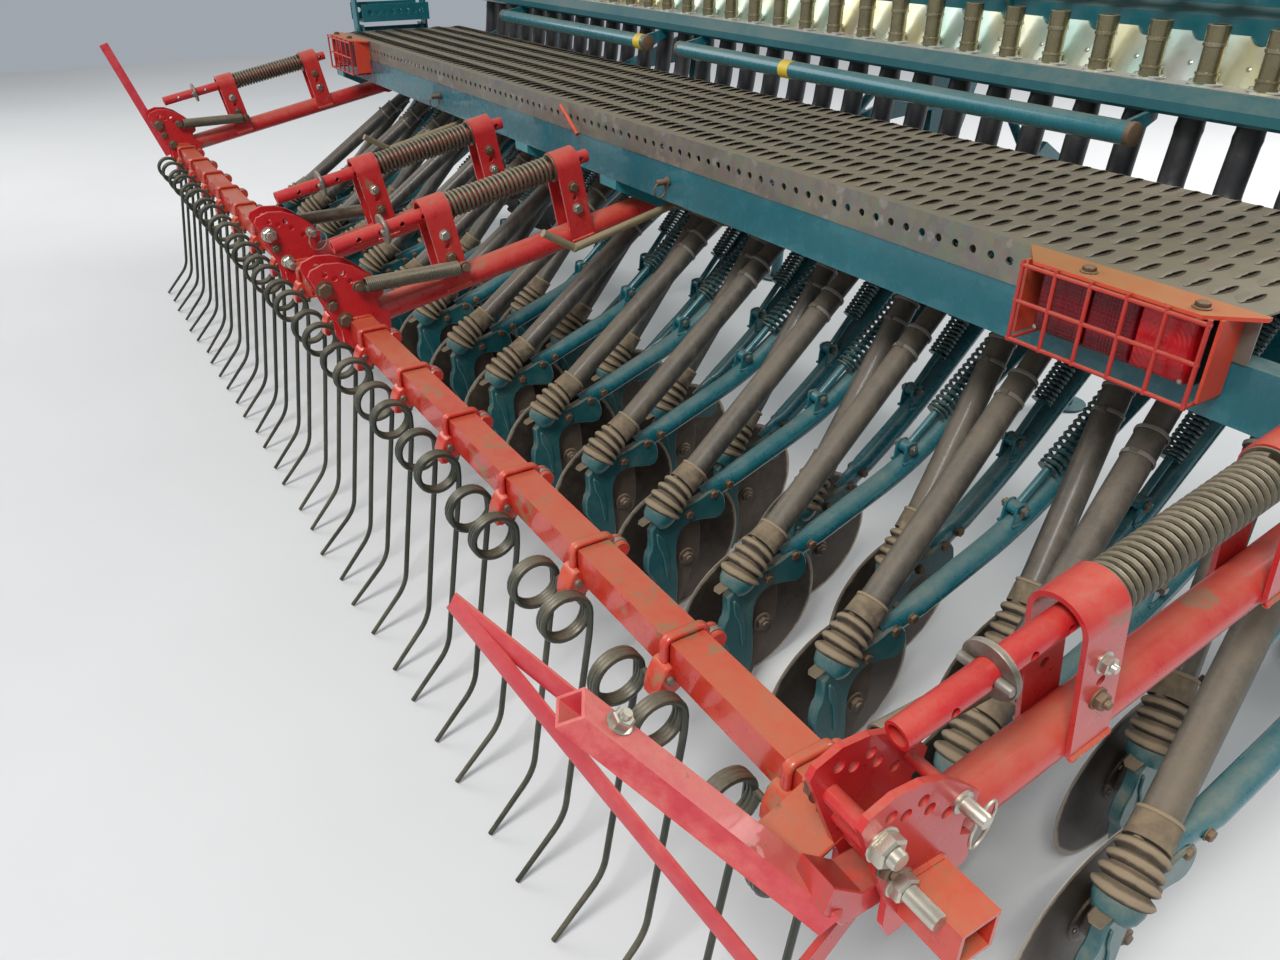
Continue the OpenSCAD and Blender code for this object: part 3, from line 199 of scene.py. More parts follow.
@dataclass(frozen=True)
class Finish:
    """A surface finish. Colours are linear, lengths in metres."""

    name: str
    colour: Colour
    paler_tone: Colour
    roughness: float = 0.45
    metallic: float = 0.0
    coat: float = 0.0
    dust: float = 0.4
    dust_colour: Colour = (0.30, 0.21, 0.12)
    rust: float = 0.0
    rust_colour: Colour = (0.11, 0.045, 0.02)
    grain: float = 900.0
    relief: float = 0.12
    pattern: Pattern = Pattern.PLAIN
    worn: Colour = (0.17, 0.11, 0.07)
    worn_share: float = 0.8
    specks: float = 0.0
    patches: float = 0.0
    speck_colour: Colour = (0.30, 0.26, 0.22)

    def pattern_coat(self, shader: Shader, colour: Link, height: Link, rough: Link) -> tuple[Link, Link, Link]:
        """Adds what the pattern changes.

        Args:
            shader: the material's tree.
            colour: the colour so far.
            height: the relief so far.
            rough: the roughness so far.

        Returns:
            Colour, relief and roughness.
        """
        if self.pattern is Pattern.SPANGLE:
            settings = {"feature": "F1", "distance": "EUCLIDEAN"}
            cells = shader.node("ShaderNodeTexVoronoi", settings,
                                {"Vector": shader.coordinates, "Scale": 70.0}, "Color")
            colour = shader.mix(0.12, colour, cells, "OVERLAY")
            scratch = shader.noise(30.0, 3.0, 0.6, (1.0, 14.0, 1.0)).above(0.62, 0.04)
            colour = shader.mix(scratch * 0.25, colour, (0.55, 0.53, 0.50))
        if self.pattern is Pattern.IRIDESCENT:
            tint = shader.node("ShaderNodeValToRGB", {"stops": [
                (0.28, (0.52, 0.40, 0.56)), (0.40, (0.74, 0.66, 0.30)), (0.50, (0.76, 0.78, 0.58)),
                (0.60, (0.42, 0.66, 0.56)), (0.74, (0.72, 0.72, 0.66))]},
                {0: shader.noise(7.0, 1.0, 0.3, (1.0, 1.0, 0.6))})
            colour = shader.mix(0.75, colour, tint)
        if self.pattern is Pattern.TURNED:
            rings = shader.node("ShaderNodeTexWave", {"wave_type": "RINGS", "rings_direction": "X"},
                                {"Vector": shader.coordinates, "Scale": 90.0, "Distortion": 3.0, "Detail": 2.0},
                                "Fac")
            height = height + rings * 0.35
            rough = rough - rings * 0.1
        if self.pattern is Pattern.LENS:
            prisms = shader.node("ShaderNodeTexWave", {"wave_type": "BANDS", "bands_direction": "Z"},
                                 {"Vector": shader.coordinates, "Scale": 60.0}, "Fac")
            height = height + prisms * 0.8
            # Paler colour on the prism bands: painted glints on the lens's moulded prisms.
            colour = shader.mix(prisms * 0.4, colour, self.paler_tone)
        if self.pattern is Pattern.STREAKED:
            streak = shader.noise(60.0, 4.0, 0.6, (1.0, 1.0, 0.08)).above(0.58, 0.1)
            colour = shader.mix(streak * 0.3, colour, self.dust_colour)
        return colour, height, rough

    def material(self) -> bpy.types.Material:
        """Builds the node tree.

        Returns:
            The material.
        """
        shader = Shader(self.name)
        broad = shader.noise(3.5, 5.0, 0.6)
        fine = shader.noise(38.0, 6.0, 0.65)
        speck = shader.noise(220.0, 4.0, 0.7)
        grain = shader.noise(self.grain, 3.0, 0.6)
        wear = shader.node("ShaderNodeAttribute", {"attribute_name": "wear"}, {}, "Fac")
        up = shader.up()
        # The paler tone shows in random patches, and more of it on upward faces.
        colour = shader.mix((broad * 0.6 + fine * 0.4 + up * 0.22).above(0.60, 0.22), self.colour, self.paler_tone)
        height = grain * 0.3 + fine * 0.15
        rough = self.roughness + (fine - 0.5) * 0.25
        colour, height, rough = self.pattern_coat(shader, colour, height, rough)
        if self.specks > 0:
            chips = (speck * 0.8 + fine * 0.4).above(0.86 - 0.2 * self.specks, 0.03)
            colour = shader.mix(chips * 0.8, colour, self.speck_colour)
            height = height - chips * 0.4
        if self.patches > 0:
            grime = (shader.noise(11.0, 5.0, 0.62) * 0.8 + fine * 0.4).above(0.80 - 0.2 * self.patches, 0.035)
            colour = shader.mix(grime * 0.7, colour, self.speck_colour)
            rough = rough + grime * 0.2
        if self.rust > 0:
            spots = (speck * 0.55 + fine * 0.65).above(0.86 - 0.3 * self.rust, 0.05)
            colour = shader.mix(spots, colour, self.rust_colour)
            rough = rough + spots * 0.35
            height = height - spots * 0.8
        settle = (up * 0.35 + broad * 0.5 + speck * 0.35 + fine * 0.3).above(1.0 - 0.42 * self.dust, 0.3)
        film = (settle * min(1.0, 0.55 + 0.5 * self.dust)).clamped()
        colour = shader.mix(film, colour, self.dust_colour)
        # The worn colour follows wear: rubbed edges, and partly painted highlight on the bellows' crests and the
        # louvres' raised edges.
        rubbed_and_highlit = (wear * 0.9 + (fine - 0.5) * 0.9).above(0.5, 0.25) * self.worn_share
        colour = shader.mix(rubbed_and_highlit, colour, self.worn)
        rough = (rough + film * 0.4).clamped()
        bump = shader.node("ShaderNodeBump", {}, {"Strength": self.relief, "Distance": 0.002, "Height": height})
        shader.feed(shader.surface.inputs["Base Color"], colour)
        shader.feed(shader.surface.inputs["Roughness"], rough)
        shader.feed(shader.surface.inputs["Normal"], bump)
        if self.metallic:
            shader.feed(shader.surface.inputs["Metallic"], self.metallic * (1.0 - film * 0.9))
        if self.coat:
            shader.surface.inputs["Coat Weight"].default_value = self.coat
        return shader.material


ALL_FINISHES = [
    Finish("teal_paint", (0.006, 0.105, 0.130), (0.012, 0.160, 0.190), 0.26, coat=0.35, dust=0.22, rust=0.04,
           worn=(0.12, 0.10, 0.07), worn_share=0.5),
    Finish("boot_paint", (0.006, 0.080, 0.090), (0.016, 0.125, 0.135), 0.36, coat=0.2, dust=0.42, rust=0.12,
           worn=(0.22, 0.17, 0.11), worn_share=0.6),
    Finish("light_teal", (0.020, 0.200, 0.230), (0.040, 0.260, 0.290), 0.32, coat=0.25, dust=0.28, rust=0.06),
    Finish("rail_teal", (0.006, 0.085, 0.100), (0.012, 0.120, 0.135), 0.32, coat=0.25, dust=0.26, rust=0.08,
           dust_colour=(0.20, 0.15, 0.10)),
    Finish("galvanised", (0.19, 0.185, 0.155), (0.27, 0.26, 0.215), 0.36, metallic=0.6, dust=0.58,
           dust_colour=(0.23, 0.185, 0.115), pattern=Pattern.SPANGLE, relief=0.22, worn=(0.36, 0.33, 0.26),
           worn_share=0.6),
    Finish("slot_shadow", (0.006, 0.005, 0.005), (0.012, 0.010, 0.008), 0.9, dust=0.1, relief=0.05),
    Finish("zinc_gold", (0.60, 0.60, 0.50), (0.68, 0.68, 0.58), 0.34, metallic=0.7, dust=0.12, relief=0.03,
           pattern=Pattern.IRIDESCENT, worn=(0.62, 0.56, 0.38), worn_share=0.6),
    Finish("outlet_olive", (0.230, 0.200, 0.115), (0.330, 0.290, 0.170), 0.28, metallic=0.85, dust=0.18, relief=0.08,
           worn=(0.50, 0.44, 0.30), worn_share=0.8),
    Finish("shelf_silver", (0.56, 0.56, 0.54), (0.66, 0.66, 0.62), 0.30, metallic=0.6, dust=0.15, relief=0.05),
    Finish("rubber_black", (0.014, 0.014, 0.015), (0.032, 0.032, 0.034), 0.46, dust=0.18),
    Finish("brown_wheel", (0.045, 0.026, 0.016), (0.080, 0.048, 0.030), 0.55, dust=0.30, worn=(0.13, 0.08, 0.05)),
    Finish("brown_cap", (0.100, 0.060, 0.035), (0.150, 0.090, 0.055), 0.55, dust=0.30, worn=(0.2, 0.14, 0.09)),
    Finish("yellow_tape", (0.62, 0.43, 0.02), (0.70, 0.52, 0.05), 0.40, dust=0.25),
    Finish("grey_plastic", (0.032, 0.032, 0.031), (0.072, 0.069, 0.062), 0.38, coat=0.08, dust=0.52,
           dust_colour=(0.20, 0.155, 0.10), pattern=Pattern.STREAKED, relief=0.15, worn=(0.30, 0.27, 0.22)),
    # bellows_rubber: its worn colour on the ribs' crests is partly painted highlight.
    Finish("bellows_rubber", (0.040, 0.030, 0.021), (0.100, 0.075, 0.049), 0.70, dust=0.50,
           dust_colour=(0.20, 0.150, 0.090), relief=0.3, worn=(0.31, 0.235, 0.145), worn_share=0.8),
    Finish("disc_steel", (0.050, 0.038, 0.030), (0.105, 0.080, 0.062), 0.42, metallic=0.6, dust=0.40,
           rust=0.2, pattern=Pattern.TURNED, relief=0.3, worn=(0.50, 0.42, 0.33), worn_share=0.9),
    Finish("crank_tan", (0.26, 0.20, 0.11), (0.38, 0.31, 0.19), 0.40, metallic=0.5, dust=0.35, rust=0.3),
    Finish("brown_casting", (0.085, 0.062, 0.048), (0.15, 0.115, 0.09), 0.55, metallic=0.3, dust=0.5, rust=0.3,
           worn=(0.30, 0.24, 0.18)),
    Finish("red_paint", (0.48, 0.022, 0.014), (0.64, 0.085, 0.035), 0.30, coat=0.3, dust=0.14, rust=0.12,
           dust_colour=(0.26, 0.19, 0.10), relief=0.18, specks=0.6, patches=0.45, speck_colour=(0.24, 0.15, 0.07),
           worn=(0.24, 0.09, 0.05), worn_share=0.5),
    Finish("arm_red", (0.48, 0.018, 0.020), (0.62, 0.065, 0.045), 0.30, coat=0.3, dust=0.14, rust=0.12,
           dust_colour=(0.26, 0.19, 0.10), relief=0.18, specks=0.4, patches=0.35, speck_colour=(0.20, 0.16, 0.09)),
    Finish("plate_red", (0.48, 0.014, 0.018), (0.60, 0.030, 0.026), 0.30, coat=0.3, dust=0.10, rust=0.12,
           relief=0.2, specks=0.25, worn=(0.16, 0.07, 0.05), worn_share=0.8),
    Finish("rusty_orange", (0.54, 0.050, 0.020), (0.52, 0.085, 0.030), 0.42, coat=0.1, dust=0.08, rust=0.3,
           relief=0.3, specks=0.5, rust_colour=(0.13, 0.045, 0.020)),
    Finish("pink_red", (0.48, 0.008, 0.026), (0.66, 0.110, 0.095), 0.38, coat=0.15, dust=0.10, rust=0.26,
           relief=0.2, specks=0.5, speck_colour=(0.20, 0.12, 0.09), worn=(0.70, 0.24, 0.19), worn_share=0.4),
    Finish("dirty_orange", (0.56, 0.045, 0.020), (0.60, 0.090, 0.030), 0.42, coat=0.1, dust=0.48, rust=0.25,
           dust_colour=(0.36, 0.22, 0.08), relief=0.25, specks=0.4, rust_colour=(0.10, 0.040, 0.020)),
    Finish("guard_red", (0.40, 0.018, 0.012), (0.46, 0.040, 0.022), 0.38, coat=0.2, dust=0.20, rust=0.35),
    Finish("lamp_red", (0.09, 0.002, 0.006), (0.20, 0.004, 0.010), 0.30, dust=0.02,
           pattern=Pattern.LENS, relief=0.3),
    Finish("lamp_bright", (0.36, 0.004, 0.008), (0.58, 0.010, 0.012), 0.28, dust=0.02, relief=0.1),
    Finish("lamp_black", (0.010, 0.010, 0.011), (0.020, 0.020, 0.021), 0.35, dust=0.2, worn=(0.05, 0.05, 0.05)),
    Finish("spring_steel", (0.085, 0.075, 0.050), (0.160, 0.135, 0.090), 0.38, metallic=0.35, dust=0.45,
           dust_colour=(0.30, 0.24, 0.15), rust=0.1, relief=0.2, worn=(0.25, 0.18, 0.12)),
    Finish("tine_steel", (0.030, 0.036, 0.026), (0.075, 0.075, 0.052), 0.34, metallic=0.4, dust=0.30,
           dust_colour=(0.24, 0.19, 0.12), relief=0.15),
    Finish("spring_teal", (0.006, 0.055, 0.062), (0.014, 0.090, 0.098), 0.32, coat=0.2, dust=0.30, rust=0.08),
    Finish("bright_bolt", (0.46, 0.44, 0.38), (0.60, 0.57, 0.47), 0.30, metallic=0.9, dust=0.18, rust=0.08,
           relief=0.15, worn=(0.70, 0.67, 0.60), worn_share=0.5),
    Finish("dull_bolt", (0.15, 0.13, 0.10), (0.24, 0.21, 0.165), 0.42, metallic=0.7, dust=0.35, rust=0.25,
           worn=(0.42, 0.40, 0.36), worn_share=0.6),
    Finish("brown_bolt", (0.13, 0.075, 0.045), (0.22, 0.14, 0.085), 0.52, metallic=0.5, dust=0.35, rust=0.55,
           relief=0.25, worn=(0.36, 0.27, 0.18), worn_share=0.6),
    Finish("tyre", (0.016, 0.016, 0.017), (0.030, 0.029, 0.027), 0.75, dust=0.60, dust_colour=(0.20, 0.15, 0.10),
           relief=0.3, worn=(0.10, 0.085, 0.065)),
    Finish("rim_paint", (0.42, 0.41, 0.38), (0.55, 0.53, 0.48), 0.40, metallic=0.2, dust=0.50, rust=0.1),
]
FINISHES = {finish.name: finish for finish in ALL_FINISHES}
NODE_FINISHES = {
    "tray_rail": "rail_teal", "harrow_hangers": "light_teal", "metering_tray": "rail_teal",
    "harrow_arms_left": "arm_red", "harrow_arms_right": "arm_red", "pressure_cranks": "crank_tan",
    "quadrants_left": "plate_red", "quadrants_right": "plate_red", "harrow_rods_left": "plate_red",
    "harrow_rods_right": "plate_red", "end_frame_left": "pink_red",
    "lamp_brackets": "dirty_orange", "lamp_guards": "guard_red",
}


@dataclass
class Surface:
    """A mesh as arrays: face k takes the next sizes[k] entries of loops; wear is 1 where rubbed bare, and also marks
    painted highlights.
    """

    points: np.ndarray
    loops: np.ndarray
    sizes: np.ndarray
    wear: np.ndarray

    def turned_over(self) -> "Surface":
        """The same faces seen from the other side, each one's corners in reverse."""
        ends = np.cumsum(self.sizes)
        order = np.arange(len(self.loops))
        starts = np.repeat(ends - self.sizes, self.sizes)
        lasts = np.repeat(ends - 1, self.sizes)
        return Surface(self.points, self.loops[starts + lasts - order], self.sizes, self.wear)

    def moved(self, offset: Vector3) -> "Surface":
        """The surface shifted by an offset."""
        return replace(self, points=self.points + offset)


def joined(parts: Iterable[Surface]) -> Surface:
    """Stacks surfaces, each one's indices raised by the number of points before it."""
    parts = list(parts)
    starts = np.cumsum([0] + [len(part.points) for part in parts[:-1]])
    return Surface(np.concatenate([part.points for part in parts]),
                   np.concatenate([part.loops + start for part, start in zip(parts, starts)]),
                   np.concatenate([part.sizes for part in parts]), np.concatenate([part.wear for part in parts]))


def unit(vector: np.ndarray) -> np.ndarray:
    """A vector, or each row of an array, divided by its length."""
    vector = np.asarray(vector, float)
    return vector / np.linalg.norm(vector, axis=-1, keepdims=True)


def grid(points: np.ndarray, around: bool = False, along: bool = False, caps: bool = False,
         wear: float | np.ndarray = 0.0) -> Surface:
    """Quads over a grid: face (i, j) joins points (i, j), (i, j + 1), (i + 1, j + 1) and (i + 1, j).

    Args:
        points: an array of rows by columns by 3.
        around: the last column joins the first.
        along: the last row joins the first.
        caps: the first and last rows are closed by a face each.
        wear: one value, or one for each point.

    Returns:
        The surface, facing away from a grid whose columns run counterclockwise round the rows' direction.
    """
    rows, columns = points.shape[:2]
    i = np.arange(rows if along else rows - 1)[:, None]
    j = np.arange(columns if around else columns - 1)[None, :]
    below, beside = (i + 1) % rows, (j + 1) % columns
    corners = np.broadcast_arrays(i * columns + j, i * columns + beside, below * columns + beside,
                                  below * columns + j)
    loops = np.stack(corners, -1).reshape(-1)
    sizes = np.full(len(loops) // 4, 4)
    if caps:
        ring = np.arange(columns)
        loops = np.concatenate([loops, ring[::-1], ring + (rows - 1) * columns])
        sizes = np.concatenate([sizes, [columns, columns]])
    flat = points.reshape(-1, 3)
    return Surface(flat, loops, sizes, np.broadcast_to(np.asarray(wear, float).reshape(-1), len(flat)).copy())


def circle(radius: float, sides: int = 10) -> np.ndarray:
    """Points (radius * cos a, radius * sin a) at even angles a."""
    angle = np.arange(sides) * 2 * np.pi / sides
    return radius * np.stack([np.cos(angle), np.sin(angle)], 1)


def carried(path: np.ndarray, profile: np.ndarray, hint: object = (1, 0, 0), size: object = 1.0,
            closed: bool = False, wear: float = 0.0) -> Surface:
    """Carries a profile along a path.

    Point (i, j) is path[i] + size[i] * (profile[j, 0] * across[i] + profile[j, 1] * lift[i]), where across is the
    hint made square to the path, and lift is the tangent times across.

    Args:
        path: the points it follows.
        profile: a counterclockwise outline of (across, lift) pairs.
        hint: one direction, or one for each point, that isn't along the path.
        size: a number, or an array of one or two columns.
        closed: the path ends where it begins.
        wear: the wear of every point.

    Returns:
        A closed surface.
    """
    path = np.asarray(path, float)
    ahead = np.roll(path, -1, 0) - np.roll(path, 1, 0) if closed else np.gradient(path, axis=0)
    ahead = unit(ahead)
    hint = np.broadcast_to(np.asarray(hint, float), path.shape)
    across = unit(hint - ahead * np.sum(hint * ahead, 1, keepdims=True))
    lift = np.cross(ahead, across)
    size = np.asarray(size, float)
    size = np.broadcast_to(size[:, None] if size.ndim == 1 else size, (len(path), 2))
    points = (path[:, None] + size[:, None, :1] * profile[None, :, :1] * across[:, None]
              + size[:, None, 1:] * profile[None, :, 1:] * lift[:, None])
    return grid(points, around=True, along=closed, caps=not closed, wear=wear)


def turned(start: Vector3, axis: Vector3, outline: list, sides: int = 24, hollow: bool = False,
           wear: float | np.ndarray = 0.0) -> Surface:
    """Turns an outline round an axis.

    Point (i, j) is start + height[i] * axis + radius[i] * (cos a[j] * first + sin a[j] * second), where first and
    second are square to the axis.

    Args:
        start: a point of the axis.
        axis: its direction.
        outline: (radius, height) pairs, going up on the outside.
        sides: how many angles a.
        hollow: the outline is a closed loop, for a ring.
        wear: one value, or one for each pair of the outline.

    Returns:
        A closed surface.
    """
    axis = unit(axis)
    first = unit(np.cross(axis, (0.31, 0.52, 0.8) if abs(axis[2]) < 0.9 else (1, 0, 0)))
    second = np.cross(axis, first)
    ring = circle(1.0, sides)
    outline = np.asarray(outline, float)
    spokes = ring[:, :1] * first + ring[:, 1:] * second
    points = np.asarray(start, float) + outline[:, None, 1:] * axis + outline[:, None, :1] * spokes[None]
    if np.ndim(wear):
        wear = np.repeat(wear, sides)
    return grid(points, around=True, along=hollow, caps=not hollow, wear=wear)


def inset(outline: np.ndarray, by: float) -> np.ndarray:
    """Moves each corner of a counterclockwise outline inwards, along the sum of its two edges' normals."""
    edge = unit(np.roll(outline, -1, 0) - outline)
    normal = np.stack([-edge[:, 1], edge[:, 0]], 1)
    before = np.roll(normal, 1, 0)
    share = np.maximum(1 + np.sum(normal * before, 1, keepdims=True), 0.4)
    return outline + by * (normal + before) / share


def rounded(outline: list, times: int = 1) -> np.ndarray:
    """Cuts an outline's corners: each edge gives the points a quarter and three quarters along it."""
    outline = np.asarray(outline, float)
    for _ in range(times):
        ahead = np.roll(outline, -1, 0)
        outline = np.stack([0.75 * outline + 0.25 * ahead, 0.25 * outline + 0.75 * ahead], 1).reshape(-1, 2)
    return outline


def slab(outline: list, low: float, high: float, chamfer: float = 0.001, axes: tuple = ((0, 1, 0), (0, 0, 1)),
         origin: Vector3 = (0, 0, 0), wear: float = 0.25) -> Surface:
    """A plate with chamfered edges.

    Its rings are the outline inset by the chamfer at both faces, and the whole outline a chamfer's depth further in.

    Args:
        outline: (a, b) pairs in the plate's plane.
        low: the lower face's height over that plane.
        high: the upper face's height.
        chamfer: how much the edges are cut.
        axes: the directions of a and b; the height runs along a times b.
        origin: the plane's origin.
        wear: how far the chamfers are rubbed bare.

    Returns:
        A closed surface.
    """
    outline = np.asarray(outline, float)
    after = np.roll(outline, -1, 0)
    if np.sum(outline[:, 0] * after[:, 1] - outline[:, 1] * after[:, 0]) < 0:
        outline = outline[::-1]
    small = inset(outline, chamfer)
    rings = [(small, low, 0.0), (outline, low + chamfer, wear), (outline, high - chamfer, wear), (small, high, 0.0)]
    a, b = np.asarray(axes, float)
    up = np.cross(a, b)
    points = np.stack([np.asarray(origin, float) + ring[:, :1] * a + ring[:, 1:] * b + height * up
                       for ring, height, _ in rings])
    return grid(points, around=True, caps=True, wear=np.repeat([level for *_, level in rings], len(outline)))


def bent_path(corners: list, bend: float, steps: int = 6, closed: bool = False) -> np.ndarray:
    """A path of straight runs whose corners are curves.

    Each corner becomes the curve (1 - t)^2 * before + 2 * t * (1 - t) * corner + t^2 * after, where before and after
    stand a bend's length from it.

    Args:
        corners: the points that the straight runs would join.
        bend: the length of run that a corner takes up on either side.
        steps: how many pieces a curve has.
        closed: the last point joins the first.

    Returns:
        The path's points.
    """
    corners = np.asarray(corners, float)
    t = np.linspace(0, 1, steps + 1)[:, None]
    inner = range(len(corners)) if closed else range(1, len(corners) - 1)
    runs = [] if closed else [corners[:1]]
    for k in inner:
        corner, last, following = corners[k], corners[k - 1], corners[(k + 1) % len(corners)]
        before = corner + min(bend, 0.49 * np.linalg.norm(last - corner)) * unit(last - corner)
        after = corner + min(bend, 0.49 * np.linalg.norm(following - corner)) * unit(following - corner)
        runs.append((1 - t) ** 2 * before + 2 * t * (1 - t) * corner + t ** 2 * after)
    if not closed:
        runs.append(corners[-1:])
    return np.concatenate(runs)


def coil(start: np.ndarray, end: np.ndarray, radius: float, wire: float, turns: float, steps: int = 14,
         sides: int = 7, dead: float = 1.0, bore: float = 0.0) -> Surface:
    """A round-wire helical spring.

    Its path is start + share(u) * (end - start) + radius * (cos(2 pi turns u) * first + sin(2 pi turns u) * second),
    and share(u) rises slowly over the dead turns at both ends.

    Args:
        start: the middle of its first end.
        end: the middle of its last end.
        radius: from the axis to the wire's middle.
        wire: the wire's radius.
        turns: how many turns.
        steps: path points in a turn.
        sides: sides of the wire.
        dead: closed turns at each end, which lie wire on wire.
        bore: where the first turn starts, in turns.

    Returns:
        The spring's surface.
    """
    start, end = np.asarray(start, float), np.asarray(end, float)
    length = np.linalg.norm(end - start)
    u = np.linspace(0, 1, int(turns * steps) + 1)
    edge = dead / turns
    rise = min(dead * 2.1 * wire / length, 0.4)
    share = np.interp(u, [0, edge, 1 - edge, 1], [0, rise, 1 - rise, 1]) if dead else u
    axis = (end - start) / length
    first = unit(np.cross(axis, (1, 0, 0) if abs(axis[0]) < 0.9 else (0, 1, 0)))
    second = np.cross(axis, first)
    angle = 2 * np.pi * (turns * u + bore)[:, None]
    spoke = np.cos(angle) * first + np.sin(angle) * second
    share = (wire + share * (length - 2 * wire))[:, None]
    return carried(start + share * axis + radius * spoke, circle(wire, sides), hint=spoke)


@dataclass(frozen=True)
class Bolt:
    """A hexagon head or nut on its washer, with what stands out of it. Sizes are in metres."""

    radius: float = 0.0095
    height: float = 0.0065
    washer: float = 0.0
    stud: float = 0.0
    stud_radius: float = 0.005

    def at(self, place: Vector3, axis: Vector3) -> Surface:
        """The fastener's surface.

        Args:
            place: where it touches its plate.
            axis: the way it stands out.

        Returns:
            Washer, hexagon and threaded end, each closed.
        """
        r, h = self.radius, self.height
        place, axis = np.asarray(place, float), unit(axis)
        parts = []
        if self.washer:
            parts.append(turned(place, axis, [(self.washer, 0), (self.washer, 0.0014), (self.washer * 0.9, 0.002)],
                                20, wear=0.2))
            place = place + 0.002 * axis
        parts.append(turned(place, axis, [(r * 0.96, 0), (r, 0.1 * h), (r, 0.84 * h), (r * 0.84, h)], 6,
                            wear=[0, 0.2, 0.5, 0.2]))
        if self.stud:
            turns = max(2, int(self.stud / 0.0022))
            rise = np.repeat(np.arange(turns + 1) * self.stud / turns, 2)[1:-1]
            radii = np.where(np.arange(len(rise)) % 2, 0.86, 1.0) * self.stud_radius
            parts.append(turned(place + h * axis, axis, np.stack([radii, rise], 1), 14, wear=0.3))
        return joined(parts)


def ring_pin(centre: Vector3, axis: Vector3, radius: float, wire: float = 0.0016) -> Surface:
    """A wire ring: a circle of the radius about the axis, with the wire's circle carried round it."""
    axis = unit(axis)
    first = unit(np.cross(axis, (0.2, 0.3, 0.9)))
    spoke = circle(1.0, 28) @ np.stack([first, np.cross(axis, first)])
    return carried(np.asarray(centre) + radius * spoke, circle(wire, 8), hint=spoke, closed=True)


def weld(points: list, size: float = 0.004, seed: int = 1) -> Surface:
    """A weld bead: a round profile whose size swells and shrinks along its path as its pools of metal do."""
    path = bent_path(points, 0.01)
    length = np.concatenate([[0], np.cumsum(np.linalg.norm(np.diff(path, axis=0), axis=1))])
    count = max(6, int(length[-1] / 0.0018))
    place = np.linspace(0, length[-1], count)
    path = np.stack([np.interp(place, length, path[:, k]) for k in range(3)], 1)
    pools = 0.85 + 0.2 * np.abs(np.sin(place * np.pi / 0.005)) + np.random.default_rng(seed).normal(0, 0.03, count)
    hint = (0.3, 0.5, 0.81) if abs(unit(path[-1] - path[0])[2]) < 0.8 else (1, 0, 0)
    return carried(path, circle(size, 7), hint=hint, size=pools)


@dataclass
class Shop:
    """Makes the finished pieces: mesh, body, slot and finish."""

    finishes: dict[str, bpy.types.Material] = field(default_factory=dict)
    count: int = 0

    def finish(self, name: str) -> bpy.types.Material:
        """The material of a finish, made when it is first asked for."""
        if name not in self.finishes:
            self.finishes[name] = FINISHES[name].material()
        return self.finishes[name]

    def piece(self, name: str, parts: Iterable[Surface], body: str, slot: str, finish: str = "",
              stands_for: tuple[str, ...] = (), sharp: float = 35.0) -> bpy.types.Object:
        """Puts surfaces into one mesh object that rides on a body.

        Args:
            name: the piece's name.
            parts: its surfaces.
            body: the body that it moves with.
            slot: the record's material slot.
            finish: a finish other than the slot's own.
            stands_for: nodes that it is shown instead of.
            sharp: edges that turn by more degrees than this stay sharp.

        Returns:
            The object.
        """
        surface = joined(parts)
        mesh = bpy.data.meshes.new(name)
        mesh.vertices.add(len(surface.points))
        mesh.vertices.foreach_set("co", surface.points.astype(np.float32).reshape(-1))
        mesh.loops.add(len(surface.loops))
        mesh.loops.foreach_set("vertex_index", surface.loops.astype(np.int32))
        mesh.polygons.add(len(surface.sizes))
        mesh.polygons.foreach_set("loop_start", (np.cumsum(surface.sizes) - surface.sizes).astype(np.int32))
        mesh.polygons.foreach_set("use_smooth", np.ones(len(surface.sizes), bool))
        mesh.update(calc_edges=True)
        mesh.set_sharp_from_angle(angle=math.radians(sharp))
        mesh.attributes.new("wear", "FLOAT", "POINT").data.foreach_set("value", surface.wear.astype(np.float32))
        mesh.materials.append(self.finish(finish or slot))
        made = bpy.data.objects.new(name, mesh)
        bpy.context.scene.collection.objects.link(made)
        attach(made, body)
        if stands_for:
            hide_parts(*stands_for)
        self.count += 1
        LOG.info("%s: %d faces on %s", name, len(surface.sizes), body)
        return made

    def dress(self) -> None:
        """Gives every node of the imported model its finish."""
        for part in frame["record"]["subparts"]:
            node = frame["nodes"][part["node"]]
            material = self.finish(NODE_FINISHES.get(part["node"], part["material_slot"]))
            if not node.material_slots:
                node.data.materials.append(material)
            for slot in node.material_slots:
                slot.material = material
        LOG.info("dressed %d nodes", len(frame["nodes"]))


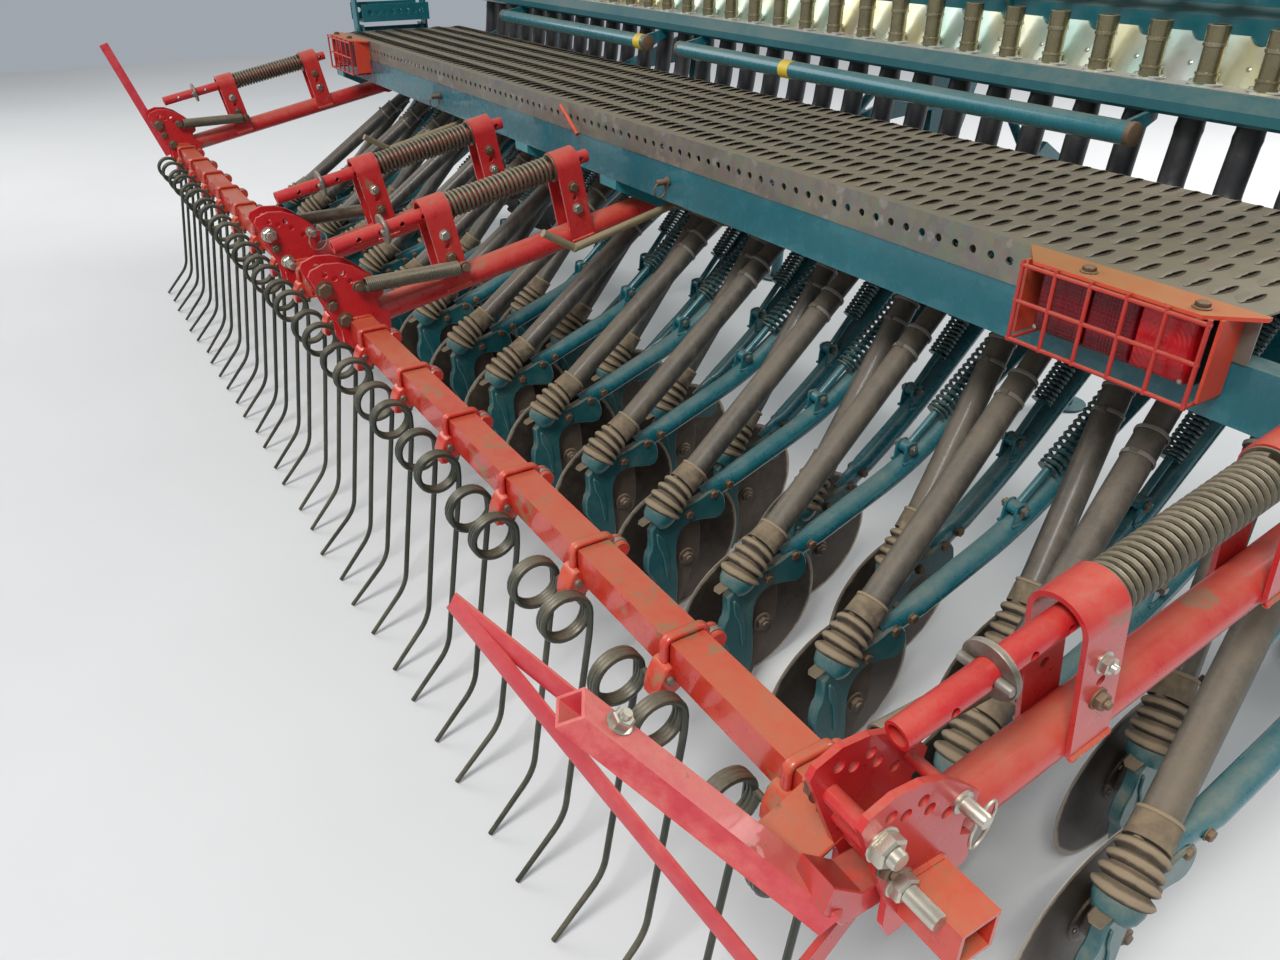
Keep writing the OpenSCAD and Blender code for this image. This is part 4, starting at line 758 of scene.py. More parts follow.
@dataclass
class Rows:
    """Where each seed row runs, from the metering tray to its disc.

    A pair is (y, z), and those of the mouth and the head count y from the disc's centre. knee_drop and lug_rise hold
    the front rank's value and the rear one's. Each array that is worked out from them has one entry for each row,
    from the left end to the right one.
    """

    count: int = 32
    pitch: float = 0.125
    outlet_pitch: float = 0.103
    rear_disc: float = -0.560
    rank_gap: float = 0.250
    disc_radius: float = 0.160
    bellows: float = 0.112
    nose_at: Pair = (0.236, 1.0417)
    bend_at: Pair = (0.212, 0.850)
    foot_at: Pair = (0.040, 0.800)
    mouth_at: Pair = (-0.072, 0.296)
    mouth_aside: float = 0.008
    head_at: Pair = (0.045, 0.300)
    pivot_at: Pair = (0.090, 0.620)
    press_at: Pair = (0.150, 0.770)
    knee_share: float = 0.45
    knee_drop: Pair = (0.020, 0.045)
    lug_rise: Pair = (0.049, 0.043)

    def __post_init__(self) -> None:
        """Works out the rows' ranks (0 for the front one, 1 for the rear one), points and directions."""
        step = np.arange(self.count) - (self.count - 1) / 2
        self.rank = np.arange(self.count) % 2
        self.x, self.outlet_x = step * self.pitch, step * self.outlet_pitch
        self.disc_y = self.rear_disc + (1 - self.rank) * self.rank_gap
        # A hose runs from its nose over its bend to its foot, where the seed tube begins
        self.nose = self.points(self.outlet_x, *self.nose_at)
        self.bend = self.points(self.outlet_x, *self.bend_at)
        self.foot = self.points(self.x * (0.92 - 0.01 * (self.x / self.x[-1]) ** 2), *self.foot_at)
        # The bellows begins at the boot's mouth
        self.mouth = self.points(self.x + self.mouth_aside, self.disc_y + self.mouth_at[0], self.mouth_at[1])
        self.seed_way = unit(self.foot - self.mouth)
        # An arm runs from its head over its knee to the pivot bar, its pressure rod from the lug to the upper bar
        self.head = self.points(self.x, self.disc_y + self.head_at[0], self.head_at[1])
        self.pivot = self.points(self.x, *self.pivot_at)
        drop, rise = np.take(self.knee_drop, self.rank), np.take(self.lug_rise, self.rank)
        self.knee = self.head + self.knee_share * (self.pivot - self.head) - self.points(0 * self.x, 0, drop)
        self.lug = self.knee + self.points(0 * self.x, 0, rise)
        self.press = self.points(self.x, *self.press_at)

    @staticmethod
    def points(x: np.ndarray, y: object, z: object) -> np.ndarray:
        """An array of points, one for each row."""
        return np.stack([x, np.broadcast_to(y, x.shape), np.broadcast_to(z, x.shape)], 1)


ROWS = Rows()
HALVES = (("left", range(ROWS.count // 2)), ("right", range(ROWS.count // 2, ROWS.count)))


@dataclass
class Tread:
    """Half-moon louvres punched up from the platform's sheet, with teeth along their raised edges.

    Their openings face the right end.
    """

    top: float = 0.900
    columns: int = 100
    pitch: float = 0.0348
    first_row: float = -0.281
    row_pitch: float = 0.0805
    rows: int = 6
    half: float = 0.0305
    depth: float = 0.024
    rise: float = 0.0062
    slot: float = 0.0150
    lip: float = 0.0035
    sag: float = 0.004
    tooth: float = 0.0014
    teeth: int = 5
    sheet: float = 0.0012

    def hood(self) -> Surface:
        """One louvre about its slot's middle.

        At v from -1 to 1 along it, its section runs from the raised edge at x = wave - sag * v^2 to the sheet at
        x = -depth * (0.12 + 0.88 * (1 - v^2)^0.5), rising to rise * (1 - v^2); the wave makes the teeth.

        Returns:
            A closed surface.
        """
        v = np.linspace(-0.98, 0.98, 2 * self.teeth + 1)
        arch = 1 - v ** 2
        wave = np.where(np.arange(len(v)) % 2, 1.0, -0.6) * self.tooth
        back = -self.depth * (0.12 + 0.88 * np.sqrt(arch))
        level = self.rise * arch + 0.5 * wave * arch - 0.0004
        edge = wave - self.sag * v ** 2
        ring = [(edge, level - self.sheet), (0.45 * back, 0.66 * level - self.sheet), (back, 0 * v - 0.0006),
                (0.45 * back, 0.66 * level), (edge, level)]
        points = np.stack([np.stack([x, v * self.half, z], 1) for x, z in ring], 1)
        # The raised edge takes wear 0.7: its pale rim is partly rubbing, partly painted highlight.
        return grid(points, around=True, caps=True, wear=np.tile([0.0, 0.0, 0.0, 0.2, 0.7], (len(v), 1)))

    def painted_slot_shade(self) -> Surface:
        """Painted shade in one slot: a thin dark crescent from lip * (1 - v^2) before the hood to slot * (1 - v^2)
        under it.
        """
        v = np.linspace(-0.97, 0.97, 7)
        arch = 1 - v ** 2
        front = np.stack([self.lip * arch - self.sag * v ** 2 + 0.0008, v * self.half], 1)
        rear = np.stack([-self.slot * arch - 1.2 * self.sag * v ** 2 - 0.0006, v * self.half], 1)
        return slab(np.concatenate([front, rear[::-1]]), -0.0008, 0.0003, 0.0001, axes=(X, Y), wear=0)

    def places(self, side: int) -> list[Vector3]:
        """Where the louvres stand on the left (-1) or right (1) half, each other row shifted by half a pitch."""
        k = np.arange(self.columns) - (self.columns - 1) / 2
        places = []
        for row in range(self.rows):
            x = k * self.pitch + (row % 2 - 0.5) * self.pitch / 2
            places += [(a, self.first_row + row * self.row_pitch, self.top) for a in x if a * side > 0]
        return places

    def build(self, shop: Shop) -> None:
        """Makes the louvres and, as painted shade, the dark slots of both halves."""
        for side, name in SIDES:
            # The slots are thin black slabs: painted shade where the openings show only shade below.
            for kind, shape, finish in (("louvres", self.hood(), ""), ("slots", self.painted_slot_shade(), "slot_shadow")):
                shop.piece(f"tread_{kind}_{name}", [shape.moved(place) for place in self.places(side)], "frame",
                           "galvanised", finish)


@dataclass
class SeedLine:
    """Rubber hoses under the outlets, ribbed bellows over the boots, and the rings where two seed tubes join."""

    hose: float = 0.023
    hose_bend: float = 0.055
    joints: tuple = ((0.976, 0.004), (1.034, 0.005))
    rings: int = 4
    root: float = 0.0248
    rib: float = 0.0112
    ribbed_share: float = 0.62
    collar: Pair = (0.0292, 0.0272)
    sides: int = 22
    upper_share: float = 0.62
    end_ring: tuple = ((0.0245, 0), (0.0288, 0.001), (0.0288, 0.005), (0.0245, 0.007))
    shoulder: tuple = ((0.008, -0.008), (0.0095, 0), (0.008, 0.009), (0.005, 0.013))
    tab: tuple = ((-0.011, 0.018), (-0.010, 0.046), (-0.004, 0.052), (0.010, 0.050), (0.011, 0.018))
    tube_ring: tuple = ((0.0254, 0), (0.0262, 0.0008), (0.0262, 0.0062), (0.0254, 0.007))
    ring_back: Pair = (0.0, 0.045)
    catch: Pair = (0.007, 0.004)

    def hose_surface(self, i: int) -> Surface:
        """A hose: a circle carried down from the shelf and back, swollen at its two joints."""
        path = bent_path([ROWS.nose[i], ROWS.bend[i], ROWS.foot[i]], self.hose_bend, 9)
        fine = np.concatenate([np.linspace(path[0], path[1], 14)[:-1], path[1:-1],
                               np.linspace(path[-2], path[-1], 8)[1:]])
        joint = sum(np.exp(-((fine[:, 2] - z) / width) ** 2) for z, width in self.joints)
        foot = np.linalg.norm(fine - fine[-1], axis=1) < 0.022
        return carried(fine, circle(self.hose, 18), size=1 + 0.07 * joint + 0.06 * foot)

    def bellows_surface(self, i: int, random: np.random.Generator) -> list[Surface]:
        """One bellows with its collar, clip ring, shoulder and tab.

        The radius at a share s of the ribbed length is root + rib * |sin(pi * rings * s)|^0.75, times a taper of
        about 1.08 - 0.16 * s, and the axis is the cubic curve that leaves the boot steeper than the seed tube stands.
        """
        foot, way = ROWS.mouth[i], ROWS.seed_way[i]
        top = foot + ROWS.bellows * way
        out = unit(0.62 * way + 0.38 * Z)
        t = np.linspace(0, 1, 64)[:, None]
        reach = ROWS.bellows / 3
        path = ((1 - t) ** 3 * foot + 3 * t * (1 - t) ** 2 * (foot + reach * out)
                + 3 * t ** 2 * (1 - t) * (top - reach * way) + t ** 3 * top)
        t = t[:, 0]
        share = np.clip(t / self.ribbed_share, 0, 1)
        wave = np.abs(np.sin(np.pi * self.rings * share)) ** 0.75
        taper = 1.08 - 0.16 * share + random.normal(0, 0.012)
        radius = np.where(share < 1, (self.root + self.rib * wave) * taper,
                          self.collar[0] - 0.004 * (t - self.ribbed_share))
        radius = np.where(t > 0.93, self.collar[1], radius)
        # Wear follows the ribs' crests: pale crests and dark folds, partly dust and rubbing, partly painted highlight
        # on the crests and painted shade in the folds.
        body = replace(carried(path, circle(1.0, self.sides), size=radius),
                       wear=np.repeat(np.where(share < 1, wave ** 3, 0.5), self.sides))
        return [body, turned(top - 0.006 * way, way, self.end_ring, self.sides, hollow=True, wear=0.9),
                turned(path[50] - 0.026 * Y + 0.002 * Z, unit(way - 0.5 * Y), self.shoulder, 12, wear=0.6),
                slab(self.tab, -0.0015, 0.0015, 0.0006, axes=(X, unit((0, -1, -0.35))), origin=foot + 0.006 * Z,
                     wear=0.8)]

    def tube_rings(self, i: int) -> list[Surface]:
        """The two rings where the upper tube enters the lower one, with their catch."""
        way, base = ROWS.seed_way[i], ROWS.mouth[i] + ROWS.bellows * ROWS.seed_way[i]
        top = self.upper_share * np.linalg.norm(ROWS.foot[i] - base)
        a, b = self.catch
        catch = slab([(-a, -b), (a, -b), (a, b), (-a, b)], -0.002, 0.003, 0.001, axes=(X, way), wear=0.8,
                     origin=base + (top - 0.049) * way - 0.0268 * unit(Y * way[2] - Z * way[1]))
        return [*(turned(base + (top - back - 0.0065) * way, way, self.tube_ring, self.sides, hollow=True, wear=1.0)
                  for back in self.ring_back), catch]

    def build(self, shop: Shop) -> None:
        """Makes the hoses, the bellows and the tubes' rings."""
        random = np.random.default_rng(7)
        everyone = range(ROWS.count)
        shop.piece("rubber_hoses", [self.hose_surface(i) for i in everyone], "frame", "rubber_black",
                   stands_for=("seed_hoses",))
        for side, rows in HALVES:
            shop.piece(f"ribbed_bellows_{side}", [part for i in rows for part in self.bellows_surface(i, random)],
                       "frame", "bellows_rubber", stands_for=("bellows",) if side == "left" else (), sharp=60)
        shop.piece("tube_rings", [part for i in everyone for part in self.tube_rings(i)], "frame", "grey_plastic")


@dataclass
class Coulters:
    """Arms, pressure springs, boots, hub plates and discs of the two ranks.

    An outline in the plane of travel is a row of pairs: how far behind the disc's centre, and how high.
    """

    arm: float = 0.021
    arm_bend: float = 0.075
    arm_start: float = 0.014
    lug_out: float = 0.0118
    lug_half: float = 0.0024
    weld_half: float = 0.019
    boot_x: Pair = (-0.0040, 0.0160)
    hub_x: Pair = (-0.014, -0.004)
    boot: tuple = ((0.098, 0.276), (0.094, 0.222), (0.104, 0.208), (0.106, 0.168), (0.092, 0.150), (0.088, 0.122),
                   (0.072, 0.098), (0.064, 0.046), (0.036, 0.036), (0.029, 0.112), (0.037, 0.190), (0.034, 0.236),
                   (0.008, 0.256), (-0.030, 0.250), (-0.070, 0.240), (-0.084, 0.262), (-0.074, 0.302),
                   (-0.044, 0.314), (-0.010, 0.300), (0.020, 0.296), (0.044, 0.282))
    boot_rib: tuple = ((0.088, 0.262), (0.084, 0.226), (0.070, 0.200), (0.062, 0.140), (0.054, 0.140),
                       (0.056, 0.205), (0.070, 0.240))
    cup: tuple = ((0.020, -0.012), (0.027, -0.004), (0.031, 0.008), (0.0315, 0.020), (0.0295, 0.022))
    hub: tuple = ((0.040, 0.250), (-0.028, 0.252), (-0.036, 0.205), (-0.034, 0.140), (-0.016, 0.118),
                  (0.002, 0.070), (0.014, 0.032), (0.022, 0.034), (0.016, 0.078), (0.024, 0.122), (0.033, 0.190))
    boss: tuple = ((0.0195, 0), (0.0195, 0.006), (0.018, 0.008), (0.012, 0.0085))
    pin: tuple = ((0.009, 0), (0.010, 0.001), (0.010, 0.049))
    flap: tuple = ((0.086, 0.112), (0.104, 0.086), (0.098, 0.060), (0.080, 0.040), (0.054, 0.044), (0.060, 0.086))
    eye: tuple = ((0.0253, 0), (0.031, 0), (0.033, 0.002), (0.033, 0.046), (0.031, 0.048), (0.0253, 0.048))
    lug_pin: tuple = ((0.0055, 0), (0.006, 0.001), (0.006, 0.046), (0.0055, 0.047))
    disc: tuple = ((0.01005, -0.012), (0.029, -0.012), (0.032, -0.009), (0.032, -0.002), (0.146, -0.002),
                   (0.156, -0.0012), (0.1597, -0.0004), (0.1597, 0.0004), (0.156, 0.0012), (0.146, 0.002),
                   (0.052, 0.002), (0.050, 0.005), (0.034, 0.006), (0.031, 0.010), (0.030, 0.024),
                   (0.027, 0.026), (0.01005, 0.026))
    disc_wear: tuple = (0, 0, 0.2, 0, 0, 0.8, 1, 1, 0.8, 0, 0.1, 0.4, 0.1, 0.2, 0.3, 0.3, 0)
    rivet: tuple = ((0.0045, 0), (0.004, 0.0018), (0.002, 0.0028))
    seat: tuple = ((0.0074, 0), (0.019, 0), (0.019, 0.0025), (0.0074, 0.0025))
    spring: Pair = (0.0166, 0.0033)
    spring_turns: float = 31.0
    spring_low: float = 0.085
    spring_high: float = 0.030
    head_bolts: tuple = ((0.006, 0.0122), (0.044, 0.0150))

    def travel_plate(self, i: int, outline: tuple, low: float, high: float, chamfer: float, wear: float) -> Surface:
        """A plate of a row with rounded corners, from low to high across the row's middle."""
        y, x = ROWS.disc_y[i], ROWS.x[i]
        return slab([(y - a, b) for a, b in rounded(outline, 1)], x + low, x + high, chamfer, wear=wear)

    def arm_surface(self, i: int) -> list[Surface]:
        """An arm: a circle carried over its knee, pressed flat at its head, with its eye and its lugs."""
        head, knee, pivot, lug = ROWS.head[i], ROWS.knee[i], ROWS.pivot[i], ROWS.lug[i]
        start = head - self.arm_start * unit(knee - head)
        path = bent_path([start, knee, pivot - 0.020 * unit(pivot - knee)], self.arm_bend, 10)
        path = np.concatenate([np.linspace(path[0], path[1], 12)[:-1], path[1:]])
        press = np.clip((0.075 - np.linalg.norm(path - start, axis=1)) / 0.03, 0, 1)
        press = press * press * (3 - 2 * press)
        parts = [carried(path, circle(self.arm, 18), size=np.stack([1 - 0.42 * press, 1 + 0.16 * press], 1)),
                 turned(pivot - 0.024 * X, X, self.eye, 28, hollow=True)]
        y, z = lug[1:]
        outline = rounded([(y - 0.018, knee[2]), (y + 0.018, knee[2]), (y + 0.014, z + 0.010),
                           (y + 0.006, z + 0.013), (y - 0.006, z + 0.013), (y - 0.014, z + 0.010)])
        for side, _ in SIDES:
            x = head[0] + side * self.lug_out
            parts.append(slab(outline, x - self.lug_half, x + self.lug_half))
            parts.append(weld([(x + side * 0.003, end, knee[2] + 0.017)
                               for end in (y - self.weld_half, y + self.weld_half)], 0.003, i))
        return [*parts, turned(lug - 0.0235 * X, X, self.lug_pin, 14)]

    def fasteners(self, i: int) -> list[Surface]:
        """The bolts through an arm's flat head, its lug pin's clips, and the bolts of the boot and its flap."""
        head, y, x = ROWS.head[i], ROWS.disc_y[i], ROWS.x[i]
        along = unit(ROWS.knee[i] - head)
        parts = [Bolt(0.0088, 0.006, 0.0105).at(head + reach * along + side * out * X, side * X)
                 for reach, out in self.head_bolts for side, _ in SIDES]
        for side, _ in SIDES:
            clip = Bolt(0.0092, 0.006, stud=0.004 if side < 0 else 0.0, stud_radius=0.0045)
            parts.append(clip.at(ROWS.lug[i] + side * 0.0165 * X, side * X))
        return [*parts, Bolt(0.008, 0.005, 0.010).at((x + 0.0185, y - 0.082, 0.078), X),
                Bolt(0.0085, 0.006, 0.0105).at((x + 0.016, y - 0.010, 0.276), X)]

    def boot_surface(self, i: int) -> list[Surface]:
        """A boot's casting with its rib, and a cup under its bellows."""
        mouth, way = ROWS.mouth[i], ROWS.seed_way[i]
        return [self.travel_plate(i, self.boot, *self.boot_x, 0.0026, 0.35),
                turned(mouth - 0.014 * way, way, self.cup, 22, wear=[0, 0, 0, 0.3, 0.4]),
                self.travel_plate(i, self.boot_rib, 0.0150, 0.0200, 0.0018, 0.4)]

    def hub_surface(self, i: int) -> list[Surface]:
        """The plate that holds a disc, the disc's pin with its washer and nut, and a scraper flap."""
        centre = np.array((ROWS.x[i], ROWS.disc_y[i], ROWS.disc_radius))
        return [self.travel_plate(i, self.hub, *self.hub_x, 0.0018, 0.35),
                turned(centre - 0.009 * X, X, self.boss, 24, wear=[0, 0.2, 0.6, 0.2]),
                turned(centre - 0.058 * X, X, self.pin, 20),
                Bolt(0.0135, 0.0085, stud=0.004, stud_radius=0.0075).at(centre - 0.001 * X, X),
                self.travel_plate(i, self.flap, 0.0155, 0.0185, 0.0008, 0.5)]

    def disc_surface(self, i: int) -> list[Surface]:
        """A disc with its bearing and rivets, its cutting edge bevelled and worn bright."""
        centre = np.array((ROWS.x[i] - 0.044, ROWS.disc_y[i], ROWS.disc_radius))
        parts = [turned(centre, X, self.disc, 72, hollow=True, wear=self.disc_wear)]
        for angle in np.arange(5) * 2 * np.pi / 5 + i:
            spot = centre + 0.042 * (np.cos(angle) * Y + np.sin(angle) * Z)
            parts.append(turned(spot + 0.005 * X, X, self.rivet, 8, wear=0.4))
        return parts

    def spring_surface(self, i: int) -> list[Surface]:
        """A pressure spring round its rod, between two washers."""
        lug, press = ROWS.lug[i], ROWS.press[i]
        way = unit(press - lug)
        low, high = lug + self.spring_low * way, press - self.spring_high * way
        inside = 0.0015 * way
        seats = [turned(spot, way, self.seat, 20, hollow=True, wear=0.3)
                 for spot in (low - 0.001 * way, high - inside)]
        return [coil(low + inside, high - inside, *self.spring, self.spring_turns, 12, 6, bore=i * 0.37), *seats]

    def build(self, shop: Shop) -> None:
        """Makes each kind of piece for the left and right half, or for each rank of discs."""
        kinds = (("arms", self.arm_surface, "teal_paint", "", "coulter_arms"),
                 ("boots", self.boot_surface, "teal_paint", "boot_paint", "coulter_boots"),
                 ("hub_castings", self.hub_surface, "disc_steel", "brown_casting", "hub_plates"),
                 ("pressure_springs", self.spring_surface, "teal_paint", "spring_teal", "coulter_springs"),
                 ("coulter_bolts", self.fasteners, "disc_steel", "brown_bolt", ""))
        for name, make, slot, finish, node in kinds:
            for side, rows in HALVES:
                shop.piece(f"{name}_{side}", [part for i in rows for part in make(i)], "frame", slot, finish,
                           stands_for=(node,) if node and side == "left" else ())
        for rank, name in enumerate(("front", "rear")):
            rows = np.flatnonzero(ROWS.rank == rank)
            shop.piece(f"disc_gang_{name}", [part for i in rows for part in self.disc_surface(i)], f"discs_{name}",
                       "disc_steel", stands_for=(f"discs_{name}",))


@dataclass
class HarrowHalf:
    """One half of the following harrow: springs, tines, clamps, pins and bolts.

    side is -1 on the left. s is a length back along an arm and n a height above it; the push spring (radius, wire,
    turns) sits on the rod over an arm, and the pull spring (radius, wire) beside it. A quadrant bolt has its kind,
    the plate it stands on (-1 for the far one), its place from the beam's middle and its form.
    """

    side: int
    arm_x: Pair = (0.234, 1.870)
    pivot: Pair = (-0.150, 0.690)
    arm_end: Pair = (-0.925, 0.540)
    beam: Pair = (-0.970, 0.520)
    beam_half: float = 0.025
    strap_s: Pair = (0.240, 0.568)
    strap_width: float = 0.060
    strap_out: float = 0.034
    strap_bolts_n: Pair = (0.118, 0.066)
    strap_foot: float = -0.006
    rod_n: float = 0.165
    collar_s: float = 0.712
    roll_pin_s: float = 0.722
    roll_pin_out: float = 0.0140
    push_s: Pair = (0.3003, 0.5677)
    push: tuple[float, float, float] = (0.0248, 0.0041, 23.5)
    push_washer: tuple = ((0.0154, 0), (0.0315, 0), (0.032, 0.001), (0.0315, 0.003), (0.0154, 0.003))
    pull: Pair = (0.0146, 0.0024)
    pull_turns: int = 54
    pull_out: float = 0.0383
    pull_post: Pair = (0.580, 0.042)
    pull_rear: Pair = (0.001, 0.100)
    pull_hook: float = 0.0102
    pull_inset: float = 0.013
    coil_at: Pair = (-1.040, 0.475)
    coil_radius: float = 0.035
    wire: float = 0.005
    tines: int = 8
    tine_from: float = 0.125
    tine_reach: float = 1.622
    tip: Pair = (-0.107, 0.0055)
    joint_wire: float = 0.0047
    joint_half: float = 0.040
    plate_out: float = 0.0363
    strap_bar: float = 0.0045
    block_half: float = 0.0165
    eye: Pair = (0.010, 0.004)
    eye_rings: tuple = ((-0.011, ((0.0135, 0), (0.0155, 0.002), (0.0155, 0.0075), (0.0135, 0.009))),
                        (0.007, ((0.0120, 0), (0.0145, 0.001), (0.0145, 0.006), (0.0125, 0.008))))
    eye_nut: tuple = ((0.0125, 0), (0.0150, 0.001), (0.0165, 0.005), (0.0150, 0.009), (0.0090, 0.0095),
                      (0.0080, 0.0075))
    quadrant_bolts: tuple = (("bright", -1, -0.066, 0.100, Bolt(0.0175, 0.013, 0.019, 0.008, 0.010)),
                             ("rusty", 1, -0.066, 0.100, Bolt(0.0165, 0.012, 0.0185)),
                             ("rusty", -1, -0.055, 0.064, Bolt(0.0105, 0.008, 0.012, 0.004)),
                             ("rusty", 1, -0.055, 0.064, Bolt(0.0105, 0.008, 0.012)),
                             ("bright", -1, -0.033, 0.027, Bolt(0.0150, 0.012, 0.0170, 0.036, 0.0096)),
                             ("rusty", 1, -0.033, 0.027, Bolt(0.0140, 0.010, 0.0165)))
    pin: tuple = ((0.0125, 0), (0.0125, 0.003), (0.0082, 0.004), (0.0082, 0.027), (0.0070, 0.0295))
    collar: tuple = ((0.0156, -0.0009), (0.0316, -0.0009), (0.0324, 0.0004), (0.0324, 0.0050), (0.0316, 0.0062),
                     (0.0156, 0.0062))
    roll_pin: tuple = ((0.0056, 0), (0.0056, 0.0150), (0.0048, 0.0165))
    stud_cap: tuple = ((0.0090, -0.002), (0.0090, 0.0015), (0.0080, 0.0025))

    @property
    def name(self) -> str:
        """The half's name in its body's and nodes' names."""
        return dict(SIDES)[self.side]

    @property
    def back(self) -> np.ndarray:
        """The direction back along an arm."""
        return unit((0, *np.subtract(self.arm_end, self.pivot)))

    @property
    def tine_x(self) -> np.ndarray:
        """The middle of each tine pair."""
        return self.side * (self.tine_from + np.arange(self.tines) * self.tine_reach / (self.tines - 1))

    def on_arm(self, x: float, s: float, n: float, across: float = 0.0) -> np.ndarray:
        """The point s back along the arm at x, n up from it and so far across."""
        root = np.array((self.side * x, *self.pivot))
        return root + s * self.back + n * np.cross(X, -self.back) + across * X

    def pull_way(self, x: float) -> int:
        """The side of an arm that its pull spring stands on."""
        return self.side * (1 if x == self.arm_x[0] else -1)

    def push_spring(self, x: float, bore: int) -> list[Surface]:
        """The spring round an arm's rod with its two washers."""
        low, high = (self.on_arm(x, s, self.rod_n) for s in self.push_s)
        inside = 0.003 * self.back
        washers = [turned(spot, self.back, self.push_washer, 30, hollow=True, wear=0.3)
                   for spot in (low, high - inside)]
        return [coil(low + inside, high - inside, *self.push, 20, 9, bore=bore), *washers]

    def pull_spring(self, x: float) -> list[Surface]:
        """The spring beside an arm, from a post on the quadrant to one on the strap, with a hook at each end."""
        radius, wire = self.pull
        off = self.pull_way(x) * (self.pull_out + 0.015)
        rear = np.array((self.side * x + off, *np.add(self.beam, self.pull_rear)))
        front = self.on_arm(x, *self.pull_post, off)
        line = unit(front - rear)
        normal = np.cross(line, X)
        first, last = rear + self.pull_inset * line, front - self.pull_inset * line
        parts = [coil(first, last, radius, wire, self.pull_turns, 14, 6, dead=0)]
        angle = np.linspace(0.25, 2 * np.pi - 0.5, 20)[:, None]
        for post, end, turn in ((rear, first, 1), (front, last, -1)):
            loop = post + self.pull_hook * (np.cos(angle) * turn * line + np.sin(angle) * normal)
            hook = np.concatenate([[end + radius * normal, end + 0.0120 * normal - 0.004 * turn * line], loop])
            parts.append(carried(hook, circle(wire, 8), hint=X))
        return parts

    def tine(self, x: float, end: int, random: np.random.Generator) -> Surface:
        """One tine: three turns of wire, then a leg that leaves the coil's front and kicks back at its tip.

        The coil's point at angle a is coil_at + coil_radius * (cos a, sin a) in the plane of travel, moving outwards
        by a wire and a bit each turn as a runs from 0 to -6 pi.
        """
        turns, steps = 3, 26
        angle = -np.linspace(0, 2 * np.pi * turns, turns * steps + 1)
        shift = end * (0.0362 + 0.0188 * np.linspace(0, 1, len(angle)))
        y, z = self.coil_at
        wound = np.stack([x + shift, y + self.coil_radius * np.cos(angle), z + self.coil_radius * np.sin(angle)], 1)
        lean = random.normal(0, 0.003)
        knee = (wound[-1, 0] + lean, y - 0.022, 0.100)
        tip = (wound[-1, 0] + 1.6 * lean, y + self.tip[0] + random.normal(0, 0.004), self.tip[1])
        start = wound[-1] - (0, 0.001, 0.030)
        leg = bent_path([wound[-1], start, knee, tip], 0.030, 6)[1:]
        far = np.linalg.norm(leg - leg[-1], axis=1)
        size = np.concatenate([np.ones(len(wound)), np.where(far < 0.02, 0.85, 1.0)])
        return carried(np.concatenate([wound, leg]), circle(self.wire, 9), hint=X, size=size)

    def tine_surfaces(self) -> list[Surface]:
        """Every tine pair with the wire that joins its coils."""
        random = np.random.default_rng(31 + self.side)
        parts = []
        for x in self.tine_x:
            parts += [self.tine(x, end, random) for end in (-1, 1)]
            middle = np.array((x, self.coil_at[0] + self.coil_radius, self.coil_at[1]))
            path = np.stack([middle - self.joint_half * X, middle, middle + self.joint_half * X])
            parts.append(carried(path, circle(self.joint_wire, 9), hint=Z))
        return parts

    def clamp_surfaces(self) -> tuple[list[Surface], list[Surface]]:
        """The painted straps and blocks of the tine clamps, and their steel eyes and nuts."""
        paint, steel = [], []
        y, z = self.beam
        out = self.beam_half + self.strap_bar + 0.0007
        rear, low, front = y - out, z - out, self.coil_at[0] + 0.020
        bar = self.strap_bar * rounded([(-1.6, -1), (1.6, -1), (1.6, 1), (-1.6, 1)], 2)
        block = rounded([(rear + 0.004, z - 0.002), (rear - 0.006, z - 0.004), (rear - 0.012, z - 0.014),
                         (front, self.coil_at[1] + 0.012), (front, self.coil_at[1] - 0.012),
                         (rear + 0.018, low - 0.012), (rear + 0.022, low - 0.001)])
        for x in self.tine_x:
            corners = [(x, y + out, z - out), (x, y + out, z + out), (x, y - out, z + out), (x, y - out, z - out)]
            paint.append(carried(bent_path(corners, 0.012, 5, closed=True), bar, hint=X, closed=True, wear=0.15))
            eye = np.array((x, y + out + self.eye[0], z + self.eye[1]))
            paint += [turned(eye + shift * X, X, outline, 24, wear=0.2) for shift, outline in self.eye_rings]
            paint.append(slab(block, x - self.block_half, x + self.block_half, 0.002, wear=0.2))
            steel.append(turned(eye - 0.002 * X, X, self.eye_nut, 24, wear=0.6))
            steel.append(Bolt(0.0085, 0.007, 0.0095, 0.007).at((x, rear + 0.014, low - 0.0125), -Z))
            steel += [turned((x + way * self.block_half, rear - 0.002, z - 0.022), way * X,
                             [(0.006, 0), (0.006, 0.003), (0.0045, 0.0045)], 12, wear=0.3) for way in (-1, 1)]
        return paint, steel

